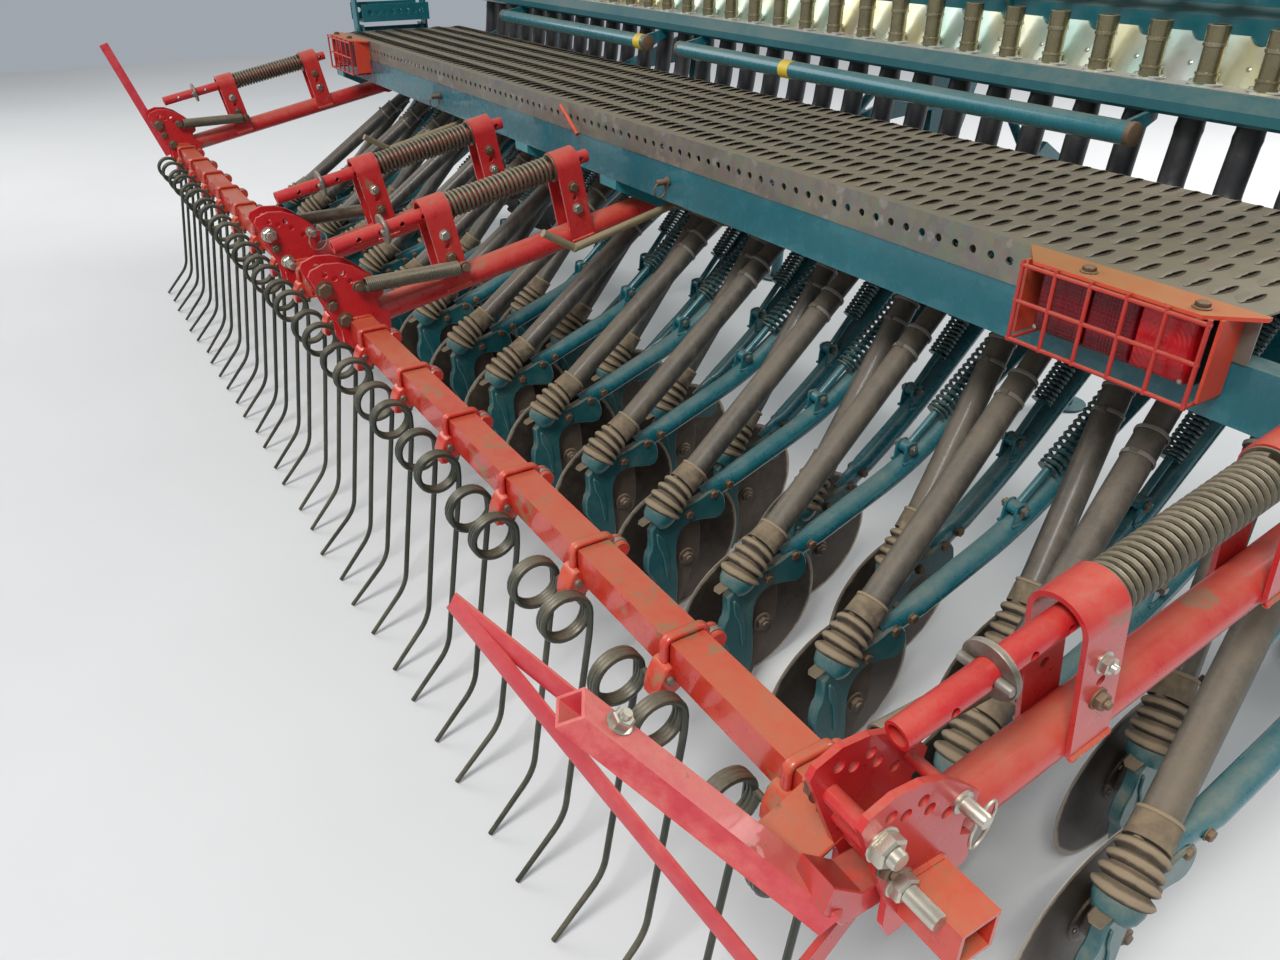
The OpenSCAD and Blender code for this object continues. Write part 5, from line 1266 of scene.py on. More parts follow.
    def fastener_surfaces(self) -> dict[str, list[Surface]]:
        """Bright and rusty bolts on the straps and quadrants, and the rods' dull collars and roll pins."""
        made = {"bright": [], "rusty": [], "dull": []}
        y, z = self.beam
        for x in self.arm_x:
            centre, way = self.side * x, self.pull_way(x)
            for kind, face, dy, dz, bolt in self.quadrant_bolts:
                spot = (centre + face * way * self.plate_out, y + dy, z + dz)
                made[kind].append(bolt.at(spot, face * way * X))
            pin = np.array((centre - way * self.plate_out, y + 0.034, z + 0.092))
            ring = pin - 0.019 * way * X + 0.021 * unit((0, 0.5, -0.85))
            made["bright"] += [turned(pin, -way * X, self.pin, 20, wear=0.4),
                               ring_pin(ring, (1, 0.25, 0), 0.0240, 0.0018)]
            for k, s in enumerate(self.strap_s):
                for row, n in enumerate(self.strap_bolts_n):
                    for turn in (-1, 1):
                        spot = self.on_arm(x, s + self.strap_width / 2, n, turn * self.strap_out)
                        bolt = Bolt(0.0105, 0.0075, 0.0125, 0.005 if turn * way < 0 else 0.0)
                        made["bright" if k != row else "rusty"].append(bolt.at(spot, turn * X))
            collar = self.on_arm(x, self.collar_s, self.rod_n)
            made["dull"].append(turned(collar, self.back, self.collar, 30, hollow=True, wear=0.5))
            for turn in (-1, 1):
                spot = self.on_arm(x, self.roll_pin_s, self.rod_n, turn * self.roll_pin_out)
                made["dull"].append(turned(spot, turn * X, self.roll_pin, 14, wear=0.6))
            front = self.on_arm(x, *self.pull_post, way * (self.pull_out + 0.022))
            rear = (centre + way * (self.plate_out + 0.0252), *np.add(self.beam, self.pull_rear))
            made["rusty"] += [turned(spot, way * X, self.stud_cap, 16, wear=0.4) for spot in (front, rear)]
        return made

    def weld_surfaces(self) -> list[Surface]:
        """Beads at the straps' feet, and where the quadrant plates meet the beam."""
        beads = []
        y, z = self.beam
        top = z + self.beam_half + 0.001
        for k, x in enumerate(self.arm_x):
            for s in self.strap_s:
                for turn in (-1, 1):
                    across = turn * (self.strap_out - 0.0005)
                    beads.append(weld([self.on_arm(x, end, self.strap_foot, across)
                                       for end in (s, s + self.strap_width)], 0.0042, k))
            for turn in (-1, 1):
                edge = self.side * x + turn * (self.plate_out + 0.001)
                beads.append(weld([(edge, y - 0.026, top), (edge, y + 0.026, top), (edge, y + 0.027, z - 0.004)],
                                  0.0040, k + 3))
        return beads

    def build(self, shop: Shop) -> None:
        """Makes the half's pieces."""
        springs = [part for k, x in enumerate(self.arm_x) for part in self.push_spring(x, k) + self.pull_spring(x)]
        paint, steel = self.clamp_surfaces()
        made = self.fastener_surfaces()
        for name, parts, slot, finish, node in (
                ("wound_springs", springs, "spring_steel", "", "harrow_springs"),
                ("spring_tines", self.tine_surfaces(), "spring_steel", "tine_steel", "tines"),
                ("clamp_straps", paint, "red_paint", "", "tine_clamps"),
                ("clamp_eyes", steel + made["dull"], "spring_steel", "dull_bolt", ""),
                ("zinc_bolts", made["bright"], "spring_steel", "bright_bolt", ""),
                ("rusty_bolts", made["rusty"], "spring_steel", "brown_bolt", ""),
                ("weld_beads", self.weld_surfaces(), "red_paint", "", "")):
            shop.piece(f"{name}_{self.name}", parts, f"harrow_{self.name}", slot, finish,
                       stands_for=(f"{node}_{self.name}",) if node else ())


@dataclass
class EndMarkers:
    """The right end's marker: a square tube with an open mouth, two flat bars and the plates that hold them.

    Each point and outline counts from the beam's corner.
    """

    corner: Vector3 = (1.870, -0.970, 0.520)
    tube_root: Vector3 = (0.014, -0.086, -0.006)
    tube_end: Vector3 = (-0.215, -0.230, 0.136)
    tip: Vector3 = (-0.370, -0.280, 0.180)
    side: float = 0.033
    wall: float = 0.0035
    roll: float = 0.14
    miter: Vector3 = (0.42, -0.34, 0.63)
    bar: Pair = (0.028, 0.006)
    bar_feet: tuple = ((-0.005, -0.090, 0.004), (-0.005, -0.120, -0.140))
    bent: tuple = ((0.020, 0.025), (-0.030, 0.025), (-0.104, -0.010), (-0.108, -0.004), (-0.030, 0.032),
                   (0.020, 0.032))
    block: tuple = ((-0.025, 0.012), (-0.025, -0.020), (-0.080, -0.020), (-0.110, 0.020), (-0.100, 0.050),
                    (-0.060, 0.014))
    web: tuple = ((0.010, -0.025), (-0.020, -0.025), (-0.134, -0.130), (-0.134, -0.152), (-0.104, -0.152))
    weld_x: Pair = (-0.098, -0.038)
    weld_at: tuple = ((-0.030, 0.0325), (0.020, 0.0265))

    def at(self, offset: Vector3) -> np.ndarray:
        """A point by its offset from the beam's corner."""
        return np.add(self.corner, offset)

    def plate(self, outline: tuple, low: float, high: float, chamfer: float = 0.0015, wear: float = 0.5) -> Surface:
        """An upright plate in the plane of travel, from low to high across."""
        x, y, z = self.corner
        return slab([(y + a, z + b) for a, b in outline], x + low, x + high, chamfer, wear=wear)

    @property
    def axes(self) -> np.ndarray:
        """Along the tube, across its rear face and out of its upper face."""
        way = unit(np.subtract(self.tube_end, self.tube_root))
        level = unit(np.cross(Z, way))
        tall = np.cross(way, level)
        rear = np.cos(self.roll) * level + np.sin(self.roll) * tall
        return np.stack([way, rear, np.cross(way, rear)])

    def tube(self) -> Surface:
        """The tube: four square rings, outside then inside, the mouth's shifted along it to lie in a slanting plane.

        A corner c of the mouth moves by -(c . m) / (w . m) along the tube's direction w, where m is w plus the miter.
        """
        way, rear, upper = self.axes
        facing = way + np.array(self.miter)
        outside, inside = self.side / 2, self.side / 2 - self.wall
        rings = []
        for end, half in ((self.tube_root, outside), (self.tube_end, outside), (self.tube_end, inside),
                          (self.tube_root, inside)):
            flat = np.array([(1, 1), (-1, 1), (-1, -1), (1, -1)], float) * half
            ring = flat[:, :1] * rear + flat[:, 1:] * upper
            if end == self.tube_end:
                ring = ring - (ring @ facing / (way @ facing))[:, None] * way
            rings.append(self.at(end) + ring)
        # Wear runs 0.2 and 0.6 outside, root to mouth, and 0.1 and 0 inside: the inside stays darker, partly less
        # rubbing, partly painted shade.
        return grid(np.stack(rings), around=True, along=True, wear=np.repeat([0.2, 0.6, 0.1, 0.0], 4))

    def bars(self) -> list[Surface]:
        """The two flat bars from the plates to the marker's tip, each with a slight sag."""
        half, thick = self.bar[0] / 2, self.bar[1] / 2
        flat = rounded([(-half, -thick), (half, -thick), (half, thick), (-half, thick)])
        tip = self.at(self.tip)
        paths = [np.stack([tip, tip * 0.5 + self.at(foot) * 0.5 - (0, 0, 0.002), self.at(foot)])
                 for foot in self.bar_feet]
        return [carried(path, flat, hint=Z, wear=0.25) for path in paths]

    def build(self, shop: Shop) -> None:
        """Makes the tube, bars, plates, bolt and welds, and a black slab of painted shade inside the tube."""
        way, rear, upper = self.axes
        end = self.at(self.tube_end)
        half = self.side / 2 - self.wall - 0.0002
        # A black slab 28 mm in from the mouth: painted shade that makes the tube's inside look dark.
        tube_shade = slab([(-half, -half), (half, -half), (half, half), (-half, half)], 0.0, 0.012, 0.001,
                    axes=(rear, upper), origin=end - 0.028 * way, wear=0.0)
        spot = end - 0.046 * way + self.side / 2 * upper - 0.006 * rear
        plates = [self.plate(self.block, -0.022, 0.022), self.plate(self.web, -0.010, -0.002, 0.0012)]
        beads = [weld([self.at((x, *place)) for x in self.weld_x], 0.004, seed)
                 for seed, place in enumerate(self.weld_at, 1)]
        shop.piece("marker_tube", [self.tube(), *self.bars()], "harrow_right", "red_paint", "pink_red",
                   stands_for=("end_frame_right",), sharp=25)
        for name, parts, slot, finish in (
                ("bent_plate", [self.plate(self.bent, -0.098, -0.028, wear=0.3)], "red_paint", "rusty_orange"),
                ("plates", plates, "red_paint", "plate_red"),
                # A black slab inside the tube: painted shade.
                ("tube_shade", [tube_shade], "red_paint", "slot_shadow"),
                ("bolt", [Bolt(0.0120, 0.010, 0.0140, 0.006, 0.006).at(spot, upper)], "spring_steel", "bright_bolt"),
                ("welds", beads, "red_paint", "")):
            shop.piece(f"marker_{name}", parts, "harrow_right", slot, finish)


@dataclass
class Lamp:
    """A rear lamp in its wire guard: black housing, ribbed lens in three fields, screws. side is -1 on the left."""

    side: int
    middle: float = 1.595
    half: float = 0.1145
    low: float = 0.8025
    high: float = 0.8965
    back: float = -0.3305
    seam: float = -0.352
    face: float = -0.3785
    fields: tuple = ((-0.1105, -0.036), (-0.033, 0.033), (0.036, 0.1105))
    screw_x: float = 0.1065
    screw_z: float = 0.007
    screw: tuple = ((0.0035, 0), (0.0032, 0.0015), (0.0018, 0.0022))

    def lens(self, field_x: Pair, ringed: bool = False) -> Surface:
        """One field of the lens.

        Its front stands at y = face + 0.0065 - 0.0025 * rim - dome * rim - 0.0010 * ribs: the rim rises from 0 at the
        edge, and the ribs are upright bars, or rings round the reflector.

        Args:
            field_x: its ends, from the lamp's middle.
            ringed: its ribs are rings.

        Returns:
            A closed surface whose rows run along x and whose columns run up the front and down the back.
        """
        a = np.linspace(*field_x, 57)
        b = np.linspace(self.low + 0.003, self.high - 0.003, 41)
        across, height = np.meshgrid(a, b, indexing="ij")
        middle = (sum(field_x) / 2, (self.low + self.high) / 2)
        out = np.hypot(across - middle[0], height - middle[1])
        ribs = np.abs(np.sin(out * np.pi / 0.0060)) if ringed else np.abs(np.sin(across * np.pi / 0.0048))
        edge = np.minimum(np.minimum(across - a[0], a[-1] - across), np.minimum(height - b[0], b[-1] - height))
        rim = np.clip(edge / 0.004, 0, 1) ** 0.5
        dome = 0.0021 * (1 - (2 * np.abs(height - middle[1]) / (b[-1] - b[0])) ** 4)
        y = self.face + 0.0065 - rim * (0.0025 + dome) - 0.0010 * ribs * (rim > 0.95)
        front = np.stack([self.side * self.middle + across, y, height], 2)
        behind = front[:, [-1, 0]].copy()
        behind[:, :, 1] = self.seam + 0.002
        return grid(np.concatenate([front, behind], 1), around=True, caps=True).turned_over()

    def box(self, x: float) -> Surface:
        """The housing: a chamfered tray behind the lens."""
        outline = [(x - self.half, self.low), (x + self.half, self.low), (x + self.half, self.high),
                   (x - self.half, self.high)]
        return slab(outline, -self.back, -self.seam + 0.006, 0.0025, axes=(X, Z), wear=0.2)

    def build(self, shop: Shop) -> None:
        """Makes the housing, the lens, its outermost field as a reflector, and the screws."""
        name, x = dict(SIDES)[self.side], self.side * self.middle
        reflector = self.fields[2 if self.side > 0 else 0]
        screws = [turned((x + a, self.face + 0.004, b), -Y, self.screw, 10) for a in (-self.screw_x, self.screw_x)
                  for b in (self.low + self.screw_z, self.high - self.screw_z)]
        shop.piece(f"lamp_housing_{name}", [self.box(x)], "frame", "lamp_red", "lamp_black",
                   stands_for=("lamps",) if self.side < 0 else ())
        shop.piece(f"lamp_lens_{name}", [self.lens(ends) for ends in self.fields if ends != reflector], "frame",
                   "lamp_red", sharp=50)
        shop.piece(f"lamp_reflector_{name}", [self.lens(reflector, ringed=True)], "frame", "lamp_red",
                   "lamp_bright", sharp=50)
        shop.piece(f"lamp_screws_{name}", screws, "frame", "lamp_red", "bright_bolt")


@dataclass
class MeterTray:
    """Flanges, sleeves, rivets, shaft wheels, end caps and yellow bands about the metering tray."""

    shelf: float = 1.0505
    outlet_y: float = 0.236
    shaft: Pair = (0.260, 1.205)
    flange: tuple = ((-0.030, -0.006), (-0.022, -0.016), (0.022, -0.016), (0.030, -0.006), (0.030, 0.006),
                     (0.022, 0.016), (-0.022, 0.016), (-0.030, 0.006))
    flange_thick: float = 0.0026
    screw_off: float = 0.0225
    sleeve: tuple = ((0.01195, 1.0510), (0.0183, 1.0510), (0.0183, 1.0652), (0.0198, 1.0660), (0.0198, 1.0692),
                     (0.0170, 1.0700), (0.0170, 1.1090), (0.0192, 1.1098), (0.0192, 1.1142), (0.0181, 1.1150),
                     (0.0185, 1.1290), (0.0185, 1.1412), (0.0175, 1.1422), (0.01195, 1.1422))
    tooth: tuple = ((0.0245, -0.0035), (0.0285, -0.002), (0.0285, 0.002), (0.0245, 0.0035))
    teeth: int = 10
    ring: tuple = ((0.0155, 0), (0.0182, 0.001), (0.0182, 0.003), (0.0155, 0.004))
    rings: int = 4
    rivet_at: Pair = (0.2655, 1.077)
    rivet_way: Vector3 = (0, -0.86, 0.5)
    rivet: tuple = ((0.0042, -0.002), (0.004, 0.001), (0.002, 0.002))
    skin: tuple = ((-1.650, 0.2045), (1.650, 0.2045), (1.650, 0.2555), (-1.650, 0.2555))
    rail_tube: tuple[float, float, float] = (0.120, 0.975, 0.020)
    tube_ends: tuple = ((-1.258, -0.287), (-0.125, 1.258))
    bands: Pair = (-0.325, 0.340)

    def wheel_surfaces(self, x: float) -> list[Surface]:
        """One outlet's metering wheel: its teeth, and the thin rings beside them."""
        y, z = self.shaft
        parts = []
        for angle in np.arange(self.teeth) * np.pi / 5:
            axes = (np.cos(angle) * Y + np.sin(angle) * Z, -np.sin(angle) * Y + np.cos(angle) * Z)
            parts.append(slab(self.tooth, -0.009, 0.009, 0.0006, axes=axes, origin=(x - 0.004, y, z)))
        return parts + [turned((x + 0.0085 + 0.0062 * k, y, z), X, self.ring, 18, hollow=True, wear=0.4)
                        for k in range(self.rings)]

    def build(self, shop: Shop) -> None:
        """Makes the tray's small pieces."""
        flange = rounded(self.flange)
        worn = [0.5 if radius > 0.0188 else 0.0 for radius, _ in self.sleeve]
        plates, sleeves, screws, wheels = [], [], [], []
        for x in ROWS.outlet_x:
            place = np.array((x, self.outlet_y, self.shelf))
            plates.append(slab(flange, 0.0, self.flange_thick, 0.0006, axes=(X, Y), origin=place))
            screws += [Bolt(0.0052, 0.0035).at(place + off * X + self.flange_thick * Z, Z)
                       for off in (-self.screw_off, self.screw_off)]
            sleeves.append(turned((x, self.outlet_y, 0), Z, self.sleeve, 24, hollow=True, wear=worn))
            wheels += self.wheel_surfaces(x)
        rivets = [turned((x, *self.rivet_at), self.rivet_way, self.rivet, 10, wear=0.5)
                  for x in (ROWS.outlet_x[:-1] + ROWS.outlet_x[1:]) / 2]
        skin = slab(self.skin, 0.0, 0.0008, 0.0002, axes=(X, Y), origin=(0, 0, self.shelf - 0.0024), wear=0.0)
        y, z, r = self.rail_tube
        cap = [(r + 0.0006, -0.010), (r + 0.0008, 0.0004), (r - 0.002, 0.0022)]
        caps = [turned((x, y, z), way, cap, 26, wear=0.2) for ends in self.tube_ends
                for x, way in zip(ends, (-X, X))]
        band = [(r - 0.001, 0), (r + 0.0007, 0), (r + 0.0007, 0.035), (r - 0.001, 0.035)]
        bands = [turned((x - 0.0175, y, z), X, band, 28, hollow=True) for x in self.bands]
        for name, parts, body, slot, finish in (
                ("shelf_skin", [skin], "frame", "galvanised", "shelf_silver"),
                ("outlet_flanges", plates, "frame", "zinc_gold", "shelf_silver"),
                ("outlet_sleeves", sleeves, "frame", "zinc_gold", "outlet_olive"),
                ("outlet_screws", screws + rivets, "frame", "zinc_gold", "bright_bolt"),
                ("meter_wheels", wheels, "metering_shaft", "rubber_black", "brown_wheel"),
                ("tube_end_caps", caps, "frame", "rubber_black", "brown_cap"),
                ("depth_bands", bands, "frame", "zinc_gold", "yellow_tape")):
            shop.piece(name, parts, body, slot, finish)


@dataclass
class Wheel:
    """A lugged tyre, and the rim's bolts and cap. side is -1 on the left."""

    side: int
    middle: Vector3 = (1.750, 0.600, 0.400)
    carcass: tuple = ((0.2034, -0.082), (0.216, -0.090), (0.250, -0.0985), (0.300, -0.0995), (0.345, -0.0960),
                      (0.366, -0.0850), (0.376, -0.060), (0.380, -0.030), (0.381, 0.0), (0.380, 0.030),
                      (0.376, 0.060), (0.366, 0.0850), (0.345, 0.0960), (0.300, 0.0995), (0.250, 0.0985),
                      (0.216, 0.090), (0.2034, 0.082))
    lugs: int = 22
    lug: tuple = ((-0.010, -0.0125), (0.0165, -0.0095), (0.0165, 0.0095), (-0.010, 0.0125))
    bolts: int = 6
    bolt_circle: float = 0.085
    cap: tuple = ((0.024, 0), (0.026, 0.002), (0.026, 0.010), (0.020, 0.016))

    @property
    def centre(self) -> np.ndarray:
        """The wheel's middle on its own side."""
        return np.array((self.side * self.middle[0], *self.middle[1:]))

    def tyre(self) -> list[Surface]:
        """The carcass turned about the axle, and two rows of lugs that lean back from its middle.

        At t from 0 to 1, a lug's line stands at x = 0.004 + 0.090 * t, turned on by 0.19 * t^1.2 radians, on the
        radius 0.3825 - 1.1 * x^2, which drops by up to 0.018 more at the shoulder.
        """
        parts = [turned(self.centre, X, self.carcass, 96, hollow=True, wear=0.1)]
        t = np.linspace(0, 1, 7)
        for k in range(self.lugs):
            for hand, ahead in ((-1, 0.0), (1, 0.5)):
                x = hand * (0.004 + 0.090 * t)
                angle = (k + ahead) * 2 * np.pi / self.lugs + 0.19 * t ** 1.2
                crown = 0.3825 - 1.1 * x ** 2 - 0.018 * np.clip((np.abs(x) - 0.07) / 0.024, 0, 1)
                spoke = np.stack([0 * x, np.cos(angle), np.sin(angle)], 1)
                path = self.centre + x[:, None] * X + crown[:, None] * spoke
                parts.append(carried(path, np.array(self.lug), hint=spoke, wear=0.3))
        return parts

    def build(self, shop: Shop) -> None:
        """Makes the tyre, the wheel bolts and the hub's cap."""
        name, outwards = dict(SIDES)[self.side], self.side * X
        parts = []
        for angle in np.arange(self.bolts) * np.pi / 3:
            spoke = np.cos(angle) * Y + np.sin(angle) * Z
            parts += [Bolt(0.0125, 0.010, 0.015).at(self.centre + x * X + self.bolt_circle * spoke, way * X)
                      for way, x in ((1, 0.0), (-1, -0.006))]
        parts.append(turned(self.centre + 0.060 * outwards, outwards, self.cap, 26))
        shop.piece(f"lugged_tyre_{name}", self.tyre(), f"wheel_{name}", "tyre", stands_for=(f"tyre_{name}",))
        shop.piece(f"wheel_bolts_{name}", parts, f"wheel_{name}", "rim_paint")


@dataclass
class Fittings:
    """The cranks' drilled pins, the small lever, and the bolts of the hangers and lamp brackets."""

    cranks: tuple = ((-0.800, -0.3295, 0.800), (0.500, -0.3295, 0.800))
    pin: tuple = ((0.010, 0), (0.010, 0.004), (0.0065, 0.005), (0.0065, 0.026), (0.0055, 0.029))
    pivot: Pair = (-0.150, 0.690)
    hanger_out: float = 0.0363
    bracket: Pair = (-0.369, 0.9022)
    bracket_x: Pair = (1.545, 1.698)
    lever: tuple = ((0.044, -0.3445, 0.893), (0.126, -0.3445, 0.838))

    def crank_pins(self) -> list[Surface]:
        """A drilled pin with a ring beside each crank."""
        parts = []
        for root in self.cranks:
            parts.append(turned(root, -Y, self.pin, 18, wear=0.3))
            parts.append(ring_pin(root - 0.020 * Y - 0.016 * Z, (1, 0.2, 0), 0.0165, 0.0017))
        return parts

    def pivot_bolts(self) -> list[Surface]:
        """The bolt that each harrow arm turns on, on its hanger's outer face."""
        bolt = Bolt(0.0200, 0.0125, 0.0215, 0.008, 0.0100)
        spots = [(side * x, side if x > 1 else 1) for side, _ in SIDES for x in HarrowHalf.arm_x]
        return [bolt.at((x + way * self.hanger_out, *self.pivot), way * X) for x, way in spots]

    def bracket_bolts(self) -> list[Surface]:
        """Two bolts on each lamp bracket's top plate."""
        return [Bolt(0.0090, 0.0060, 0.0115).at((side * x, *self.bracket), Z)
                for side, _ in SIDES for x in self.bracket_x]

    def build(self, shop: Shop) -> None:
        """Makes the fittings."""
        shop.piece("crank_pins", self.crank_pins(), "frame", "disc_steel", "brown_bolt")
        shop.piece("hanger_bolts", self.pivot_bolts(), "frame", "disc_steel", "bright_bolt")
        shop.piece("bracket_bolts", self.bracket_bolts(), "frame", "disc_steel", "brown_bolt")
        lever = carried(np.linspace(*self.lever, 8), circle(0.0050, 12), hint=Y)
        shop.piece("park_lever", [lever], "frame", "red_paint")


@dataclass
class Bodywork:
    """Rivets, ribs, handles, welds and bolts of the hopper, its lid, the drive box, the frame and the hitch.

    trough is the lower edge of the hopper's end: its rear and front y, and its z. A hitch weld has its x, and the z
    of its two ends.
    """

    hopper_half: float = 1.680
    hopper_y: Pair = (0.190, 0.900)
    trough: tuple[float, float, float] = (0.330, 0.430, 1.250)
    lid_top: float = 1.8333
    member_x: tuple = (-1.5, -0.5, 0.5, 1.5)
    member_half: float = 0.030
    frame_y: Pair = (0.350, 0.900)
    frame_z: float = 0.610
    arm_out: float = 1.584
    arm_bolts: tuple = ((0.925, 0.585), (0.975, 0.585), (0.925, 0.635), (0.975, 0.635))
    hitch_pin: Vector3 = (0.4125, 1.203, 0.560)
    collar: tuple = ((0.0145, 0), (0.024, 0), (0.024, 0.005), (0.0145, 0.007))
    hitch_welds: tuple = ((0.3965, 0.570, 0.660), (0.4125, 0.570, 0.660), (0.038, 0.592, 0.657),
                          (0.052, 0.592, 0.657))
    beam_front: float = 1.000
    drive_x: float = -1.755
    drive_screws: tuple = ((0.192, 1.102), (0.358, 1.102), (0.192, 1.318), (0.358, 1.318), (0.192, 1.210),
                           (0.358, 1.210))
    lid_rib: Pair = (0.235, 0.845)
    rib_pitch: float = 0.375
    rib_ends: Pair = (0.3, 0.8)
    handle_x: Pair = (-0.85, 0.85)
    handle_at: Pair = (0.1835, 1.8160)
    handle_half: float = 0.075

    def end_rivets(self) -> list[Surface]:
        """Round heads along the seams of the hopper's two ends."""
        rear, front = self.hopper_y
        low_rear, low_front, low = self.trough
        lines = [((rear + 0.014, 1.800), (rear + 0.014, 1.500)), ((front - 0.014, 1.780), (front - 0.014, 1.575)),
                 ((rear + 0.030, 1.465), (low_rear + 0.006, low + 0.025)),
                 ((front - 0.030, 1.545), (low_front + 0.010, low + 0.025))]
        head = [(0.0065, -0.001), (0.0062, 0.0012), (0.0045, 0.0027), (0.0020, 0.0034)]
        parts = []
        for start, end in lines:
            count = int(np.hypot(end[0] - start[0], end[1] - start[1]) / 0.055) + 2
            for t in np.linspace(0, 1, count):
                y, z = (1 - t) * np.array(start) + t * np.array(end)
                parts += [turned((side * self.hopper_half, y, z), side * X, head, 12, wear=0.2) for side, _ in SIDES]
        return parts

    def lid_parts(self) -> tuple[list[Surface], list[Surface]]:
        """Pressed ribs across the lid, and two bent-rod handles with their feet on its rear edge."""
        ribs, handles = [], []
        for k in range(9):
            path = np.linspace(*(((k - 4) * self.rib_pitch, y, self.lid_top - 0.001) for y in self.lid_rib), 12)
            swell = np.array([*self.rib_ends, *(8 * [1.0]), *self.rib_ends[::-1]])
            ribs.append(carried(path, circle(1.0, 12) * (0.017, 0.0048), hint=X, size=swell))
        y, z = self.handle_at
        for x in self.handle_x:
            a, b = x - self.handle_half, x + self.handle_half
            corners = [(a, y + 0.001, z), (a, y - 0.030, z - 0.004), (b, y - 0.030, z - 0.004), (b, y + 0.001, z)]
            handles.append(carried(bent_path(corners, 0.016, 7), circle(0.0055, 12), hint=Z))
            handles += [turned((foot, y + 0.0015, z), -Y, [(0.012, 0), (0.012, 0.0025), (0.007, 0.004)], 16)
                        for foot in (a, b)]
        return ribs, handles

    def welds(self) -> list[Surface]:
        """Beads where the members meet the two long beams, and the hitch's ears and mast plates the front one."""
        beads = []
        top, low = self.frame_z + self.member_half, self.frame_z - self.member_half
        for k, x in enumerate(self.member_x):
            left, right = x - self.member_half, x + self.member_half
            for y in (self.frame_y[0] + 0.001, self.frame_y[1] - 0.001):
                beads.append(weld([(left, y, top), (right, y, top)], 0.0045, k))
                beads += [weld([(edge, y, low), (edge, y, top)], 0.0045, k + 9) for edge in (left, right)]
        for side, _ in SIDES:
            for x, *ends in self.hitch_welds:
                beads.append(weld([(side * x, self.beam_front + 0.001, z) for z in ends], 0.005, 4))
        return beads

    def frame_bolts(self) -> list[Surface]:
        """The bolts of the wheel arms on the frame's ends, and the collars of the lower hitch pins."""
        parts = []
        bolt = Bolt(0.0140, 0.0100, 0.0165, 0.006, 0.008)
        x, *place = self.hitch_pin
        for side, _ in SIDES:
            parts += [bolt.at((side * self.arm_out, *spot), side * X) for spot in self.arm_bolts]
            parts.append(turned((side * x, *place), side * X, self.collar, 28, hollow=True, wear=0.4))
        return parts

    def screws(self) -> list[Surface]:
        """Screws round the drive box's cover."""
        return [Bolt(0.0060, 0.0045, 0.0075).at((self.drive_x, *spot), -X) for spot in self.drive_screws]

    def build(self, shop: Shop) -> None:
        """Makes the bodywork's small pieces."""
        ribs, handles = self.lid_parts()
        for name, parts, body, slot, finish in (
                ("hopper_rivets", self.end_rivets(), "frame", "teal_paint", ""),
                ("lid_ribs", ribs, "hopper_lid", "teal_paint", ""),
                ("lid_handles", handles, "hopper_lid", "teal_paint", "bright_bolt"),
                ("frame_welds", self.welds(), "frame", "teal_paint", ""),
                ("frame_bolts", self.frame_bolts(), "frame", "disc_steel", "dull_bolt"),
                ("drive_screws", self.screws(), "frame", "disc_steel", "bright_bolt")):
            shop.piece(name, parts, body, slot, finish)


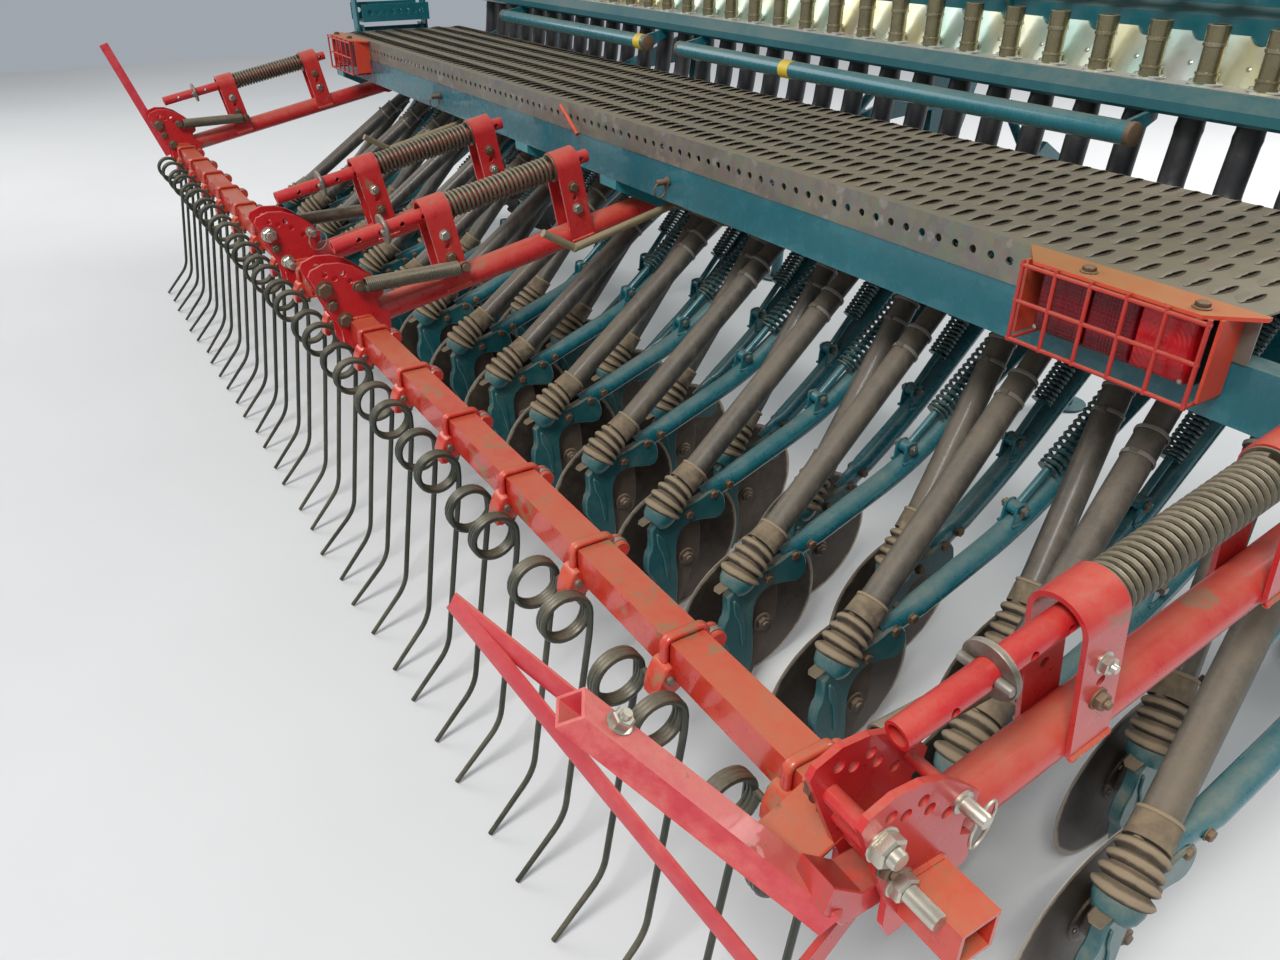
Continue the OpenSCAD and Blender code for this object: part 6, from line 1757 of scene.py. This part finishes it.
@dataclass
class Studio:
    """Camera, floor and soft light.

    The camera's angles are in degrees. A lamp has its name, place, target, side and power, and the sky its colour
    and strength.
    """

    eye: Vector3 = (2.26, -1.50, 1.305)
    pitch: float = 30.7
    heading: float = 58.0
    focal_pixels: float = 961.0
    frame_pixels: float = 1280.0
    sensor: float = 36.0
    floor_half: float = 9.0
    lamps: tuple = (("key", (3.5, -4.6, 6.5), (0.6, -0.3, 0.6), 2.2, 470.0),
                    ("fill", (-5.0, -3.5, 4.0), (0.0, 0.0, 0.8), 4.0, 150.0),
                    ("back", (1.5, 6.0, 4.5), (0.3, 0.0, 0.6), 3.0, 430.0))
    sky: tuple = ((0.84, 0.91, 1.0, 1.0), 0.42)

    def build(self) -> None:
        """Makes the camera, the floor, the world and the lamps."""
        data = bpy.data.cameras.new("view")
        data.sensor_width = self.sensor
        data.lens = self.sensor * self.focal_pixels / self.frame_pixels
        data.clip_start = 0.02
        camera = bpy.data.objects.new("view", data)
        camera.location = self.eye
        camera.rotation_euler = (math.radians(90 - self.pitch), 0.0, math.radians(self.heading))
        bpy.context.scene.collection.objects.link(camera)
        bpy.context.scene.camera = camera
        bpy.context.scene.view_settings.view_transform = "Standard"
        self.floor()
        self.world()
        for lamp in self.lamps:
            self.lamp(*lamp)

    def floor(self) -> None:
        """A plain pale floor at z = 0."""
        half = self.floor_half
        corners = [(-half, -half, 0), (half, -half, 0), (half, half, 0), (-half, half, 0)]
        mesh = bpy.data.meshes.new("floor")
        mesh.from_pydata(corners, [], [(0, 1, 2, 3)])
        floor = bpy.data.objects.new("floor", mesh)
        bpy.context.scene.collection.objects.link(floor)
        shader = Shader("floor")
        tone = shader.noise(1.5, 3.0)
        shader.feed(shader.surface.inputs["Base Color"], shader.mix(tone, (0.66, 0.655, 0.64), (0.72, 0.715, 0.70)))
        shader.surface.inputs["Roughness"].default_value = 0.8
        mesh.materials.append(shader.material)

    def world(self) -> None:
        """An even pale surround."""
        world = bpy.data.worlds.new("surround")
        world.use_nodes = True
        inputs = world.node_tree.nodes["Background"].inputs
        inputs[0].default_value, inputs[1].default_value = self.sky
        bpy.context.scene.world = world

    def lamp(self, name: str, place: Vector3, target: Vector3, size: float, power: float) -> None:
        """A square area lamp.

        Args:
            name: the lamp's name.
            place: where it stands.
            target: what it points at.
            size: its side in metres.
            power: in watts.
        """
        data = bpy.data.lights.new(name, "AREA")
        data.size = size
        data.energy = power
        lamp = bpy.data.objects.new(name, data)
        lamp.location = place
        away = np.array(place) - np.array(target)
        flat = math.hypot(away[0], away[1])
        lamp.rotation_euler = (math.atan2(flat, away[2]), 0.0, math.atan2(away[0], -away[1]))
        bpy.context.scene.collection.objects.link(lamp)


def main() -> None:
    """Builds the whole drill: the studio, the row units, the harrow, the small fittings and the finishes."""
    logging.basicConfig(level=logging.INFO)
    Studio().build()
    shop = Shop()
    Tread().build(shop)
    SeedLine().build(shop)
    Coulters().build(shop)
    for side, _ in SIDES:
        HarrowHalf(side).build(shop)
        Lamp(side).build(shop)
        Wheel(side).build(shop)
    EndMarkers().build(shop)
    MeterTray().build(shop)
    Fittings().build(shop)
    Bodywork().build(shop)
    shop.dress()
    LOG.info("%d pieces", shop.count)


if __name__ == "__main__":
    main()
